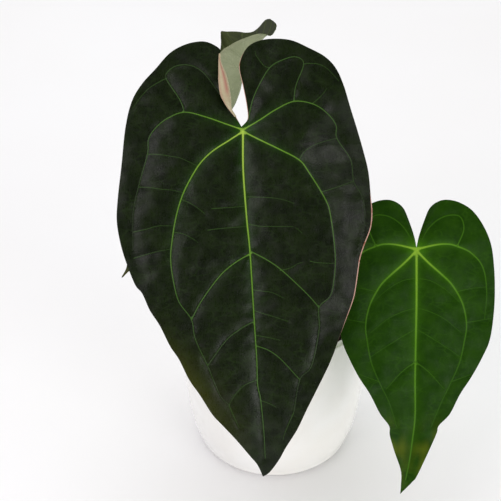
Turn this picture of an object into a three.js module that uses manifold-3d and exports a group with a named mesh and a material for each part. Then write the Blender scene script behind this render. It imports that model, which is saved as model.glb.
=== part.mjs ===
// A potted anthurium hybrid: heart-shaped velvet blades on jointed stalks, a short rootstock with aerial
// roots and papery sheaths, in chunky bark mix, in a white glazed pot.
// Millimetres, +Z up. The origin is the centre of the pot's underside, and -Y is the front.

import * as THREE from "three";
import { mergeVertices } from "three/addons/utils/BufferGeometryUtils.js";
import Module from "manifold-3d";

const wasm = await Module();
wasm.setup();

// Driving dimensions

const CLEAR = 0.3; // gap between pieces that touch
const LOOSE = 0.5; // gap between pieces that stand free of each other
const BLADE_THICKNESS = 0.8;
const WELD = 1e-3; // points closer than this are one

const POT = {
  height: 130,
  baseRadius: 57.5,
  footRadius: 50,
  footHeight: 6,
  topRadius: 72,
  rimHeight: 2,
  flare: 0.62, // share of the widening that is over soon above the foot
  flareRate: 6,
  wall: 5,
  floor: 8,
  cornerHeight: 12,
  corner: 4,
  sides: 48,
};

const MIX = {
  level: 113,
  ease: 1,
  chips: 68,
  chipLength: [11, 21],
  chipWidth: [8, 13],
  chipHeight: [6, 9],
  chipTilt: 0.7,
  chipSpread: 2.4,
  chipSunk: 0.6,
  sides: 24,
};

const STEM = { bottom: 84, crown: 131, radius: 9, crownRadius: 11.5, sides: 14 };

const ROOT = { radius: 2.2, tip: 1.6, sides: 7 };

const PETIOLE = {
  base: 4,
  clasp: 14,
  upright: 7,
  radius: 2.7,
  joint: 3.9,
  jointLength: 17,
  jointLead: 5,
  jointRise: 7,
  nose: 0.05,
  step: 7,
  moreSteps: 6,
  sides: 10,
};

const SHEATH = { base: 124, radius: 13, lean: 8, spread: 0.72, taper: 0.86 };

// Steps along and across each piece that is made of a net
const STEPS = { curl: [14, 8], young: [24, 8], sheath: [9, 6] };

// Least distances between a flat blade's points, as shares of its steps
const ROOM = { veinToEdge: 0.5, veinToVein: 0.6, gridToEdge: 0.7, gridToGrid: 0.6, jitter: 0.2 };

// How the two face-on blades and the small one bend: rises in mm, slopes in mm per mm, curves in mm per mm2
const LARGE_BEND = {
  lean: 0.06,
  slope: 0.1,
  droop: { left: 0.0009, right: 0.0017 },
  tip: { below: -120, curve: 0.0016 },
  lobe: { above: 10, curve: 0.002 },
  ripple: { left: 1.3, right: 0.3, length: 11, from: 40, full: 80 },
  upturn: { start: 48, nearer: 15, low: -55, high: -15, slant: 0.6, above: -10, slope: 0.6, ease: 12 },
  upturnEnds: { top: [-40, 0], foot: [-160, -110] },
};
const SECOND_BEND = {
  turn: 0.22,
  slope: 0.12,
  droop: 0.003,
  tip: { below: -90, curve: 0.002 },
  lobe: { above: 5, curve: 0.006 },
  fold: { slope: 1.2, curve: 0.012, width: 4, from: 2, full: 10 },
};
const SMALL_BEND = { slope: 0.16, droop: 0.004, quilting: 0.7 };

// The two face-on blades are drawn flat, seen from EYE. A rise slides a point towards EYE, so it never
// changes the outline that is seen from there.
const EYE = new THREE.Vector3(-18.4, -689.5, 662.3);
const FACE_ON = {
  across: new THREE.Vector3(1, 0, 0),
  up: new THREE.Vector3(0, 0.5807, 0.8141),
};

// Largest blade: margins and veins in mm from the point where its stalk is joined, +x right and +y up

const LARGE_LEFT_MARGIN = [
  [-1, 1.5], [-4.5, 8], [-7.5, 13], [-8, 17.5], [-8.5, 23], [-10, 31], [-11.5, 36.5], [-14.5, 43.5],
  [-15, 48], [-15, 52], [-21.5, 56], [-28, 57], [-37.5, 55], [-47.5, 49.5], [-57, 39], [-66, 29],
  [-72.5, 17.5], [-76.5, 0.5], [-79, -23.5], [-81.5, -46], [-82, -60.5], [-79.5, -75], [-75.5, -88],
  [-70, -101.5], [-65.5, -107], [-60.5, -118], [-54, -128], [-47.5, -141], [-41.5, -150], [-35, -163],
  [-28, -173], [-20, -185.5], [-13.5, -192.5], [-4.5, -202], [4.5, -212.5], [9.5, -218.5], [13, -226],
];

const LARGE_RIGHT_MARGIN = [
  [13, -226], [17.5, -223], [23.5, -215], [28, -207], [35.5, -195], [41, -183.5], [47, -171.5], [53, -159.5],
  [58, -148.5], [63, -134.5], [67.5, -122.5], [72, -110], [74, -99], [76, -85], [78.5, -76.5], [83, -64.5],
  [84, -54], [83, -43.5], [81.5, -28], [78, -13.5], [74, 0.5], [70, 13.5], [65.5, 28.5], [60.5, 39.5],
  [53.5, 47], [43.5, 52.5], [30.5, 58], [15.5, 58.5], [5, 55], [-0.5, 48], [-2.5, 40], [0, 28], [2.5, 15],
  [3, 6.5], [-1, 1.5],
];

// The left lobe's inner margin is curled over to the left: for a height y, its fold and its free edge
const LARGE_CURL = [
  { y: 8, fold: -4.5, edge: -5.5 },
  { y: 13, fold: -7.5, edge: -9.5 },
  { y: 17.5, fold: -8, edge: -12.5 },
  { y: 23, fold: -8.5, edge: -15 },
  { y: 31, fold: -10, edge: -16 },
  { y: 36.5, fold: -11.5, edge: -16 },
  { y: 43.5, fold: -14.5, edge: -16 },
  { y: 49, fold: -15, edge: -15.7 },
];

const LARGE_VEINS = {
  midrib: [[0, -1.5], [0, -20], [0.5, -33], [2.5, -59], [4.5, -79], [6.5, -111], [8, -135], [9, -150],
    [9.5, -166], [11.5, -176], [13.5, -196], [14.5, -214]],
  upperLeft: [[-2, 0], [-11.5, 3.5], [-24.5, 8], [-38, 11], [-49, 7], [-57, 0.5], [-61.5, -7], [-62, -16],
    [-68, -38], [-71.5, -56], [-71.5, -79]],
  leftLobe: [[-38, 11], [-41, 19], [-49.5, 32], [-49.5, 36.5], [-43.5, 41], [-34.5, 41.5], [-26, 37],
    [-18.5, 27.5], [-11, 17], [-4, 6]],
  lowerLeft: [[-2, -2.5], [-8.5, -7], [-20, -14.5], [-28, -22.5], [-34.5, -33], [-39.5, -43.5], [-43.5, -57],
    [-46, -72], [-47, -85], [-45, -100], [-41.5, -112.5], [-33.5, -124], [-31, -136.5], [-23, -154],
    [-15, -173], [-9, -179.5]],
  firstLeft: [[4.5, -81], [-6, -87.5], [-15, -95.5], [-26.5, -111], [-33.5, -124]],
  secondLeft: [[7, -125], [-2.5, -130.5], [-11.5, -138], [-23, -154]],
  upperRight: [[2, 0.5], [11, 6], [21, 12.5], [33, 18], [45, 16.5], [54, 11], [60.5, 2.5], [61, -6],
    [70, -20], [72, -34], [77.5, -44], [79, -59], [75, -82]],
  rightLobe: [[33, 18], [34.5, 28.5], [39.5, 42.5], [34, 47], [24.5, 44.5], [17.5, 40], [11.5, 30.5],
    [6.5, 19.5], [3.5, 7]],
  lowerRight: [[2, -1], [11, -7], [24.5, -13.5], [36.5, -20], [42.5, -27.5], [53.5, -45.5], [57, -56.5],
    [60, -82], [59, -99.5], [56.5, -109], [49.5, -116], [49.5, -130.5], [44.5, -154], [37, -163], [33, -184]],
  firstRight: [[5, -79.5], [15.5, -85], [25.5, -92], [41.5, -107], [49.5, -116]],
  secondRight: [[9, -141], [17, -144], [25, -150], [37, -163]],
};

// Second blade, which stands lower at the right: its left half is drawn, and the right half mirrors it

const SECOND_LEFT_MARGIN = [
  [0, 0.5], [-1.5, 8], [-5, 18.5], [-9, 27.5], [-15, 32], [-21.5, 33], [-29.5, 31], [-38, 25.5], [-45.5, 15],
  [-50.5, 2.5], [-52.5, -13], [-53, -29.5], [-52.5, -45.5], [-50.5, -62], [-45.5, -74.5], [-39, -87],
  [-31.5, -98.5], [-24.5, -112], [-18.5, -120], [-18, -126.5], [-15, -137], [-10.5, -150.5], [-10.5, -160.5],
  [-11, -166],
];
const SECOND_TIP_RIGHT = [[-11, -166], [-9.5, -164.5], [-3, -158], [1, -152.5]];
const SECOND_MIRRORED = 20; // margin points above the tip that the right half takes from the left

const SECOND_MIDRIB = [[0, -1], [0, -35], [-0.5, -62], [-1, -89], [-1, -113], [-3, -131], [-5, -144.5],
  [-7.5, -156.5]];
const SECOND_HALF_VEINS = {
  upper: [[-2, 0.5], [-13, 2.5], [-21.5, 3], [-27.5, 1.5], [-37, -3], [-45, -13], [-47.5, -30], [-46.5, -48]],
  lower: [[-2.5, -3.5], [-8.5, -10.5], [-17, -17.5], [-24, -24.5], [-30, -34.5], [-33, -43], [-34.5, -52.5],
    [-33.5, -62], [-30.5, -77.5], [-24.5, -92], [-18.5, -104.5], [-13.5, -120.5]],
  lobe: [[-27.5, 1.5], [-32, 13], [-29.5, 21.5], [-22, 22.5], [-14.5, 19.5], [-8, 13.5], [-3, 5]],
  second: [[0, -76], [-10, -83.5], [-20.5, -95]],
};

// Hidden small blade: half of a plain heart, its tip drawn out to a thin point

const SMALL_HALF_MARGIN = [
  [0, 1], [-3, 9], [-9, 14], [-17, 14], [-24, 7], [-28, -6], [-28, -21], [-24.5, -37], [-18, -52],
  [-10.5, -65], [-4.5, -74], [-1.6, -79], [-0.5, -85],
];
const SMALL_TIP_DROP = -86;
const SMALL_VEINS = [
  [[0, -1], [0, -30], [0, -60], [0, -78]],
  [[-1, -1], [-10, -7], [-17, -18], [-17, -34], [-10, -56]],
  [[1, -1], [10, -7], [17, -18], [17, -34], [10, -56]],
];

// Young blade: folded along its midrib, with a curled tip. Each row runs from the near margin over the keel
// to the far margin, from the stalk to the tip, in the part's own frame.

const YOUNG_ROWS = [
  [[-67, 62, 239], [-45, 72, 236], [-62, 94, 235]],
  [[-62, 75, 253], [-33, 77, 242], [-58, 111, 249]],
  [[-55, 86, 262], [-27, 88, 250], [-51, 123, 258]],
  [[-47, 97, 270], [-24, 100, 258], [-42, 131, 263]],
  [[-43, 102, 273], [-21.5, 106.5, 261.5], [-41.2, 140.4, 271.6]],
  [[-39, 107, 276], [-19, 113, 265], [-41, 143, 274]],
  [[-36, 109.5, 277], [-17.6, 116.2, 266.7], [-38, 143.6, 273.9]],
  [[-28, 116, 279], [-14, 124, 271], [-29, 145, 273]],
  [[-17, 124, 280], [-9, 133, 273], [-18, 146, 272]],
  [[-9, 133, 277], [-6, 139, 273], [-12, 149, 275]],
  [[-3, 138, 273], [-1, 146, 275], [-7, 153, 279]],
  [[0.8, 143.6, 275.5], [1.2, 149.6, 277.3], [-3.2, 153.6, 279.6]],
];

// Colours and finishes

const finish = (color, roughness) => new THREE.MeshStandardMaterial({ color, roughness, metalness: 0 });
const GLAZE = finish(0xf4f3f1, 0.12);
const BARK = finish(0x5a3f2b, 0.95);
const ROOTSTOCK = finish(0x6f6a45, 0.8);
const PAPER = finish(0x8d6a45, 0.9);
const STALK = finish(0x55702f, 0.45);
const DARK_LEAF = finish(0x16200f, 0.42);
const BRIGHT_LEAF = finish(0x2c5a14, 0.35);
const YOUNG_LEAF = finish(0x5c6b38, 0.5);

// Solids

/** The same random draws on every run (a 32-bit counter, mixed). */
function seededRandom(seed) {
  let state = seed;
  return () => {
    state = (state + 0x6d2b79f5) | 0;
    let mixed = Math.imul(state ^ (state >>> 15), 1 | state);
    mixed = (mixed + Math.imul(mixed ^ (mixed >>> 7), 61 | mixed)) ^ mixed;
    return ((mixed ^ (mixed >>> 14)) >>> 0) / 4294967296;
  };
}

/** A closed geometry as a solid that can be joined and cut. */
function toSolid(geometry) {
  const bare = new THREE.BufferGeometry();
  bare.setAttribute("position", geometry.getAttribute("position").clone());
  if (geometry.index) bare.setIndex(geometry.index);
  const merged = mergeVertices(bare, WELD);
  const corners = merged.index.array;
  const kept = [];
  for (let i = 0; i < corners.length; i += 3) {
    const [a, b, c] = corners.slice(i, i + 3);
    if (a !== b && b !== c && c !== a) kept.push(a, b, c);
  }
  return new wasm.Manifold(
    new wasm.Mesh({
      numProp: 3,
      vertProperties: merged.getAttribute("position").array,
      triVerts: new Uint32Array(kept),
    }),
  );
}

/** A solid's surface as a geometry. */
function toGeometry(solid) {
  const mesh = solid.getMesh();
  const geometry = new THREE.BufferGeometry();
  geometry.setAttribute("position", new THREE.BufferAttribute(mesh.vertProperties, 3));
  geometry.setIndex(new THREE.BufferAttribute(mesh.triVerts, 1));
  return geometry;
}

/** A geometry from a list of points and a list of triangles of their indices. */
function geometryOf(points, triangles) {
  const geometry = new THREE.BufferGeometry();
  geometry.setAttribute("position", new THREE.Float32BufferAttribute(points.flatMap((p) => p.toArray()), 3));
  geometry.setIndex(triangles.flat());
  return geometry;
}

/** A profile of [radius, height] points turned about the Z axis. */
function turned(profile, sides) {
  const outline = profile.map(([radius, height]) => new THREE.Vector2(radius, height));
  return new THREE.LatheGeometry(outline, sides).rotateX(Math.PI / 2);
}

/** A round tube along a curve, closed at both ends, whose radius follows radiusAt(0..1). */
function taperedTube(curve, radiusAt, steps, sides) {
  const frames = curve.computeFrenetFrames(steps);
  const points = [];
  const triangles = [];
  for (let i = 0; i <= steps; i++) {
    const centre = curve.getPointAt(i / steps);
    for (let j = 0; j < sides; j++) {
      const turn = (2 * Math.PI * j) / sides;
      const out = frames.normals[i].clone().multiplyScalar(Math.cos(turn));
      out.addScaledVector(frames.binormals[i], Math.sin(turn));
      points.push(centre.clone().addScaledVector(out, radiusAt(i / steps)));
    }
  }
  for (let i = 0; i < steps; i++)
    for (let j = 0; j < sides; j++) {
      const [a, b] = [i * sides + j, i * sides + ((j + 1) % sides)];
      triangles.push([a, b, a + sides], [b, b + sides, a + sides]);
    }
  const last = steps * sides;
  for (let j = 1; j < sides - 1; j++) triangles.push([0, j + 1, j], [last, last + j, last + j + 1]);
  return geometryOf(points, triangles);
}

/** A smooth curve in space through a list of [x, y, z] points. */
function throughPoints(list) {
  return new THREE.CatmullRomCurve3(list.map((p) => new THREE.Vector3(...p)), false, "centripetal");
}

/** A thin solid under a surface: its upper face's points and triangles, and its rim's edges in order. */
function shell(points, triangles, rim, thickness) {
  const upper = geometryOf(points, triangles);
  upper.computeVertexNormals();
  const normals = upper.getAttribute("normal");
  const under = points.map((p, i) =>
    p.clone().addScaledVector(new THREE.Vector3().fromBufferAttribute(normals, i), -thickness),
  );
  const count = points.length;
  const all = triangles.flatMap(([a, b, c]) => [[a, b, c], [a + count, c + count, b + count]]);
  rim.forEach(([a, b]) => all.push([a, a + count, b + count], [a, b + count, b]));
  return geometryOf([...points, ...under], all);
}

// Blades drawn flat

/** A smooth line through flat points, cut into steps of about the given length. */
function sampled(list, step) {
  const curve = new THREE.SplineCurve(list.map(([x, y]) => new THREE.Vector2(x, y)));
  const pieces = Math.max(1, Math.round(curve.getLength() / step));
  return curve.getSpacedPoints(pieces).map((p) => [p.x, p.y]);
}

/** How far a flat point lies from a chain of points. */
function distanceTo(chain, [x, y]) {
  let nearest = Infinity;
  for (let i = 1; i < chain.length; i++) {
    const [[ax, ay], [bx, by]] = [chain[i - 1], chain[i]];
    const [dx, dy] = [bx - ax, by - ay];
    const along = Math.min(1, Math.max(0, ((x - ax) * dx + (y - ay) * dy) / (dx * dx + dy * dy)));
    nearest = Math.min(nearest, Math.hypot(x - ax - along * dx, y - ay - along * dy));
  }
  return nearest;
}

/** Whether a flat point is inside a closed outline. */
function isInside(outline, [x, y]) {
  let inside = false;
  outline.forEach(([ax, ay], i) => {
    const [bx, by] = outline[(i + 1) % outline.length];
    if (ay > y !== by > y && x < ax + ((y - ay) * (bx - ax)) / (by - ay)) inside = !inside;
  });
  return inside;
}

/** The circle through three flat points. */
function circleThrough([ax, ay], [bx, by], [cx, cy]) {
  const twice = 2 * (ax * (by - cy) + bx * (cy - ay) + cx * (ay - by));
  const [a, b, c] = [ax * ax + ay * ay, bx * bx + by * by, cx * cx + cy * cy];
  const x = (a * (by - cy) + b * (cy - ay) + c * (ay - by)) / twice;
  const y = (a * (cx - bx) + b * (ax - cx) + c * (bx - ax)) / twice;
  return { x, y, radius: Math.hypot(ax - x, ay - y) };
}

/** Delaunay triangles of flat points: each new point opens the circles it lies in and fans the hole. */
function delaunay(points) {
  const far = 1e4;
  const all = [...points, [-far, -far], [far, -far], [0, far]];
  const triangle = (a, b, c) => ({ corners: [a, b, c], ...circleThrough(all[a], all[b], all[c]) });
  let found = [triangle(points.length, points.length + 1, points.length + 2)];
  points.forEach(([x, y], index) => {
    const open = new Map();
    found = found.filter((t) => {
      if (Math.hypot(x - t.x, y - t.y) > t.radius) return true;
      t.corners.forEach((a, i) => {
        const b = t.corners[(i + 1) % 3];
        if (!open.delete(`${b},${a}`)) open.set(`${a},${b}`, [a, b]);
      });
      return false;
    });
    open.forEach(([a, b]) => found.push(triangle(a, b, index)));
  });
  return found.map((t) => t.corners).filter((corners) => corners.every((c) => c < points.length));
}

/**
 * A blade drawn flat: its outline, its veins and a grid between them, triangulated and lifted.
 * The upper face sinks along the veins and is quilted between them.
 */
function flatBlade({ margins, veins, grid, edge, place }) {
  const outline = margins.flatMap((margin) => sampled(margin, edge).slice(0, -1));
  const lines = veins.map((vein) => sampled(vein, edge));
  const points = [...outline];
  const isFree = (p, room) => points.every(([x, y]) => Math.hypot(x - p[0], y - p[1]) > room);
  const closed = [...outline, outline[0]];
  lines.flat().forEach((p) => {
    const isClear = isInside(outline, p) && distanceTo(closed, p) > ROOM.veinToEdge * edge;
    if (isClear && isFree(p, ROOM.veinToVein * edge)) points.push(p);
  });
  const box = new THREE.Box2().setFromPoints(outline.map(([x, y]) => new THREE.Vector2(x, y)));
  const random = seededRandom(7);
  for (let row = 0, y = box.min.y; y < box.max.y; row++, y += grid * Math.sqrt(0.75))
    for (let x = box.min.x + (row % 2) * 0.5 * grid; x < box.max.x; x += grid) {
      const p = [x + (random() - 0.5) * ROOM.jitter * grid, y + (random() - 0.5) * ROOM.jitter * grid];
      const isClear = isInside(outline, p) && distanceTo(closed, p) > ROOM.gridToEdge * edge;
      if (isClear && isFree(p, ROOM.gridToGrid * grid)) points.push(p);
    }
  const triangles = delaunay(points).filter((corners) => {
    const centre = [0, 1].map((axis) => corners.reduce((sum, c) => sum + points[c][axis], 0) / 3);
    return isInside(outline, centre);
  });
  const rim = outline.map((_, i) => [i, (i + 1) % outline.length]);
  const turn = triangleTurn(points, triangles[0]);
  const facing = turn > 0 ? triangles : triangles.map(([a, b, c]) => [a, c, b]);
  const lifted = points.map((p) => place(p, Math.min(...lines.map((line) => distanceTo(line, p)))));
  return shell(lifted, facing, turnsLeft(outline) ? rim : rim.map(([a, b]) => [b, a]), BLADE_THICKNESS);
}

/** Twice a flat triangle's area, above zero if its corners turn to the left. */
function triangleTurn(points, [a, b, c]) {
  const [[ax, ay], [bx, by], [cx, cy]] = [points[a], points[b], points[c]];
  return (bx - ax) * (cy - ay) - (by - ay) * (cx - ax);
}

/** Whether a closed outline runs anticlockwise. */
function turnsLeft(outline) {
  return outline.reduce((sum, [x, y], i) => {
    const [nextX, nextY] = outline[(i + 1) % outline.length];
    return sum + x * nextY - nextX * y;
  }, 0) > 0;
}

/** A smooth rise from 0 to 1 between two values. */
const smooth = THREE.MathUtils.smoothstep;

const QUILT = { height: 1.4, reach: 5 };

/** How far the skin stands up between the veins, from its distance to the nearest one. */
const quilt = (fromVein) => QUILT.height * (1 - Math.exp(-fromVein / QUILT.reach));

/** Puts a flat point of a blade in its place, raised towards the eye. */
function facingEye(seat, across, up, x, y, rise) {
  const flat = seat.clone().addScaledVector(across, x).addScaledVector(up, y);
  return flat.addScaledVector(EYE.clone().sub(flat).normalize(), rise);
}

// Large blade

const LARGE_SEAT = new THREE.Vector3(-23.3, -17.6, 280);

/** How far the large blade's right side turns up. */
function largeUpturn(x, y) {
  const { start, nearer, low, high, slant, above, slope, ease } = LARGE_BEND.upturn;
  const from = start - nearer * smooth(y, low, high) + slant * Math.max(0, y - above);
  const beyond = Math.max(0, x - from);
  const lifted = slope * (beyond - ease * (1 - Math.exp(-beyond / ease)));
  return lifted * smooth(-y, ...LARGE_BEND.upturnEnds.top) * smooth(y, ...LARGE_BEND.upturnEnds.foot);
}

/** The large blade's bend: a shallow trough at the midrib, drooping lobes and tip, an upturned right side. */
function largeBend(x, y) {
  const { lean, slope, droop, tip, lobe, ripple } = LARGE_BEND;
  const across = x + lean * Math.min(0, y);
  const side = Math.abs(across);
  const trough = slope * side - (across < 0 ? droop.left : droop.right) * side * side;
  const hanging = tip.curve * Math.max(0, tip.below - y) ** 2 + lobe.curve * Math.max(0, y - lobe.above) ** 2;
  const height = (x < 0 ? ripple.left : ripple.right) * smooth(side, ripple.from, ripple.full);
  return trough - hanging + height * Math.sin(y / ripple.length) + largeUpturn(x, y);
}

/** A point of the large blade, above its skin by lift. */
function onLargeBlade(x, y, fromVein, lift = 0) {
  return facingEye(LARGE_SEAT, FACE_ON.across, FACE_ON.up, x, y, largeBend(x, y) + quilt(fromVein) + lift);
}

/** The curled margin: each row starts inside the blade, turns up at the fold and runs back to its edge. */
function curledMargin() {
  const full = 4; // width from which the curl has its whole height
  const rows = LARGE_CURL.map(({ y, fold, edge }) => {
    const size = Math.min(1, (fold - edge) / full);
    const start = [[fold - 3, -0.2], [fold - 0.8, 0.2]];
    const section = [...start, [fold, 2 * size], [fold - 1.6 * size, 3.8 * size], [edge, 4.2 * size]];
    return section.map(([x, lift]) => onLargeBlade(x, y, QUILT.reach, lift).toArray());
  });
  return netShell(rows, ...STEPS.curl, BLADE_THICKNESS);
}

function largeBlade() {
  const blade = flatBlade({
    margins: [LARGE_LEFT_MARGIN, LARGE_RIGHT_MARGIN],
    veins: Object.values(LARGE_VEINS),
    grid: 9.5,
    edge: 5,
    place: ([x, y], fromVein) => onLargeBlade(x, y, fromVein),
  });
  return toSolid(blade).add(toSolid(curledMargin()));
}

// Second blade

const SECOND_SEAT = new THREE.Vector3(93.9, -37.4, 198.8);

/** Where the second blade's midrib crosses a height. */
function secondMidribAt(y) {
  const below = SECOND_MIDRIB.findIndex((p) => p[1] < y);
  if (below < 0) return SECOND_MIDRIB.at(-1)[0];
  if (below === 0) return SECOND_MIDRIB[0][0];
  const [[ax, ay], [bx, by]] = [SECOND_MIDRIB[below - 1], SECOND_MIDRIB[below]];
  return THREE.MathUtils.mapLinear(y, ay, by, ax, bx);
}

/** A line of the second blade's left half, mirrored about the midrib. */
const mirrored = (line) => line.map(([x, y]) => [2 * secondMidribAt(y) - x, y]);

/** The second blade's bend: it turns away to the right and hangs at its tip. */
function secondBend(x, y) {
  const { turn, slope, droop, tip, lobe, fold } = SECOND_BEND;
  const side = Math.abs(x - secondMidribAt(y));
  const trough = slope * side - droop * side * side;
  const hanging = tip.curve * Math.max(0, tip.below - y) ** 2 + lobe.curve * Math.max(0, y - lobe.above) ** 2;
  const within = Math.max(0, fold.curve * y * y + fold.width - side);
  return trough - hanging - fold.slope * within * smooth(y, fold.from, fold.full) - turn * x;
}

function secondBlade() {
  const rightMargin = mirrored(SECOND_LEFT_MARGIN.slice(0, SECOND_MIRRORED)).reverse();
  const halfVeins = Object.values(SECOND_HALF_VEINS);
  return flatBlade({
    margins: [SECOND_LEFT_MARGIN, [...SECOND_TIP_RIGHT, ...rightMargin]],
    veins: [SECOND_MIDRIB, ...halfVeins, ...halfVeins.map(mirrored)],
    grid: 8.5,
    edge: 4.5,
    place: ([x, y], fromVein) =>
      facingEye(SECOND_SEAT, FACE_ON.across, FACE_ON.up, x, y, secondBend(x, y) + quilt(fromVein)),
  });
}

// Small hidden blade

const SMALL_SEAT = new THREE.Vector3(-61, 46, 197);
const SMALL_TIP = new THREE.Vector3(-112, -5.5, 149.5);
const SMALL_FACING = new THREE.Vector3(-0.33, -0.43, 0.84);

/** The small blade's bend: a shallow trough. */
const smallBend = (x) => SMALL_BEND.slope * Math.abs(x) - SMALL_BEND.droop * x * x;

function smallBlade() {
  const down = SMALL_TIP.clone().sub(SMALL_SEAT).normalize();
  const across = SMALL_FACING.clone().cross(down).normalize().negate();
  const right = SMALL_HALF_MARGIN.map(([x, y]) => [-x, y]).reverse();
  const up = down.clone().negate();
  const end = [0, SMALL_TIP_DROP];
  return flatBlade({
    margins: [[...SMALL_HALF_MARGIN, end], [end, ...right]],
    veins: SMALL_VEINS,
    grid: 9,
    edge: 4.5,
    place: ([x, y], fromVein) =>
      facingEye(SMALL_SEAT, across, up, x, y, smallBend(x) + SMALL_BEND.quilting * quilt(fromVein)),
  });
}

// Pieces made of a net of points

/** A thin solid through a net of control points, given as rows. */
function netShell(rows, alongSteps, acrossSteps, thickness) {
  const curve = (points) => new THREE.CatmullRomCurve3(points, false, "catmullrom", 0.5);
  const lines = rows.map((row) => curve(row.map((p) => new THREE.Vector3(...p))));
  const points = [];
  const columns = acrossSteps + 1;
  const crossed = (share) => curve(lines.map((line) => line.getPoint(share)));
  const nets = [...Array(columns).keys()].map((j) => crossed(j / acrossSteps));
  for (let i = 0; i <= alongSteps; i++) nets.forEach((net) => points.push(net.getPoint(i / alongSteps)));
  const triangles = [];
  for (let i = 0; i < alongSteps; i++)
    for (let j = 0; j < acrossSteps; j++) {
      const a = i * columns + j;
      triangles.push([a, a + 1, a + columns + 1], [a, a + columns + 1, a + columns]);
    }
  const corners = [0, acrossSteps, alongSteps * columns + acrossSteps, alongSteps * columns];
  const strides = [1, columns, -1, -columns];
  const rim = corners.flatMap((start, side) => {
    const edge = [];
    const end = corners[(side + 1) % corners.length];
    for (let at = start; at !== end; at += strides[side]) edge.push([at, at + strides[side]]);
    return edge;
  });
  return shell(points, triangles, rim, thickness);
}

function youngBlade() {
  return netShell(YOUNG_ROWS, ...STEPS.young, BLADE_THICKNESS);
}

/** A papery sheath that stands round the stalks' bases, centred on a bearing in degrees. */
function cataphyll(bearing, height) {
  const rows = [0, 0.3, 0.6, 0.85, 1].map((up) => {
    const width = SHEATH.spread * (1 - SHEATH.taper * up ** 2);
    const radius = SHEATH.radius + SHEATH.lean * up ** 2;
    return [-1, -0.5, 0, 0.5, 1].map((across) => {
      const turn = THREE.MathUtils.degToRad(bearing) + across * width;
      return [radius * Math.cos(turn), radius * Math.sin(turn), SHEATH.base + height * up];
    });
  });
  return netShell(rows, ...STEPS.sheath, BLADE_THICKNESS);
}

// Pot

/** The pot's outer radius at a height: it flares fast above the foot and then runs almost straight. */
function potRadius(height) {
  const rise = height / POT.height;
  const share = POT.flare * (1 - Math.exp(-POT.flareRate * rise)) + (1 - POT.flare) * rise;
  return THREE.MathUtils.lerp(POT.baseRadius, POT.topRadius, share);
}

/** The radius of the pot's flat floor inside. */
const floorRadius = () => potRadius(POT.cornerHeight) - POT.wall - POT.corner;

function pot() {
  const reach = potRadius(POT.footHeight) - POT.footRadius;
  const foot = [0.25, 0.5, 0.75, 1].map((part) => {
    const turn = (part * Math.PI) / 2;
    return [POT.footRadius + reach * Math.sin(turn), POT.footHeight * (1 - Math.cos(turn))];
  });
  const levels = [16, 30, 48, 70, 95, POT.height - POT.rimHeight];
  const outside = levels.map((z) => [potRadius(z), z]);
  const half = POT.wall / 2;
  const rimRadius = potRadius(POT.height) - half;
  const rim = [0.35, 0.65].map((part) => [
    rimRadius + half * Math.cos(part * Math.PI),
    POT.height - POT.rimHeight + POT.rimHeight * Math.sin(part * Math.PI),
  ]);
  const inside = [...levels].reverse().map((z) => [potRadius(z) - POT.wall, z]);
  const under = [[0, 0], [POT.footRadius, 0]];
  const floor = [[floorRadius(), POT.floor], [0, POT.floor]];
  return turned([...under, ...foot, ...outside, ...rim, ...inside, ...floor], POT.sides);
}

// Rootstock with its aerial roots

const ROOTS = [
  [[6, -4, 120], [15, -10, 120], [24, -17, 117], [30, -22, 105]],
  [[-6, -3, 121], [-15, -9, 121], [-25, -17, 118], [-30, -22, 104]],
  [[-2, 6, 121], [-6, 17, 120], [-10, 28, 116], [-13, 34, 104]],
  [[6, 3, 119], [16, 9, 119], [27, 12, 116], [34, 14, 104]],
];

/** The rootstock, with all its faces moved out by grow. */
function rootstock(grow) {
  const stem = turned(
    [
      [0, STEM.bottom - grow],
      [STEM.radius - 2 + grow, STEM.bottom - grow],
      [STEM.radius + grow, 100],
      [STEM.radius + 0.8 + grow, 112],
      [STEM.radius + grow, 116],
      [STEM.radius + 1.6 + grow, 121],
      [STEM.crownRadius + grow, STEM.crown - 4],
      [STEM.crownRadius - 1 + grow, STEM.crown + grow],
      [0, STEM.crown + grow],
    ],
    STEM.sides,
  );
  return ROOTS.reduce((solid, path) => {
    const radiusAt = (t) => THREE.MathUtils.lerp(ROOT.radius, ROOT.tip, t) + grow;
    return solid.add(toSolid(taperedTube(throughPoints(path), radiusAt, 7, ROOT.sides)));
  }, toSolid(stem));
}

// Potting mix

/** Bark mix to the pot's inner wall: flat under, with chips that stand out of its surface. */
function pottingMix() {
  const inner = (z) => potRadius(z) - POT.wall - LOOSE;
  const bottom = POT.floor + CLEAR;
  const under = [[0, bottom], [floorRadius() - MIX.ease, bottom], [inner(16) - MIX.ease, 18]];
  const side = [30, 60, 90, MIX.level].map((z) => [inner(z) - CLEAR, z]);
  const body = turned([...under, ...side, [0, MIX.level]], MIX.sides);
  const random = seededRandom(20);
  const between = ([low, high]) => low + (high - low) * random();
  let solid = toSolid(body);
  for (let i = 0; i < MIX.chips; i++) {
    const size = [between(MIX.chipLength), between(MIX.chipWidth), between(MIX.chipHeight)];
    const chip = new THREE.BoxGeometry(...size);
    const reach = inner(MIX.level) - 0.5 * Math.hypot(size[0], size[1]) - MIX.ease;
    // equal areas: the golden angle round, the square root out
    const out = reach * Math.sqrt((i + 0.5) / MIX.chips);
    const turn = i * Math.PI * (3 - Math.sqrt(5));
    chip.rotateX((random() - 0.5) * MIX.chipTilt).rotateY((random() - 0.5) * MIX.chipTilt);
    chip.rotateZ(random() * Math.PI);
    const height = MIX.level + (random() - MIX.chipSunk) * MIX.chipSpread;
    chip.translate(out * Math.cos(turn), out * Math.sin(turn), height);
    solid = solid.add(toSolid(chip));
  }
  // the largest body leaves out loose scraps and fills the small hollows that chips close off
  const bodies = solid.subtract(rootstock(CLEAR)).decompose();
  return bodies.reduce((largest, body) => (body.volume() > largest.volume() ? body : largest));
}

// Stalks

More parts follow.
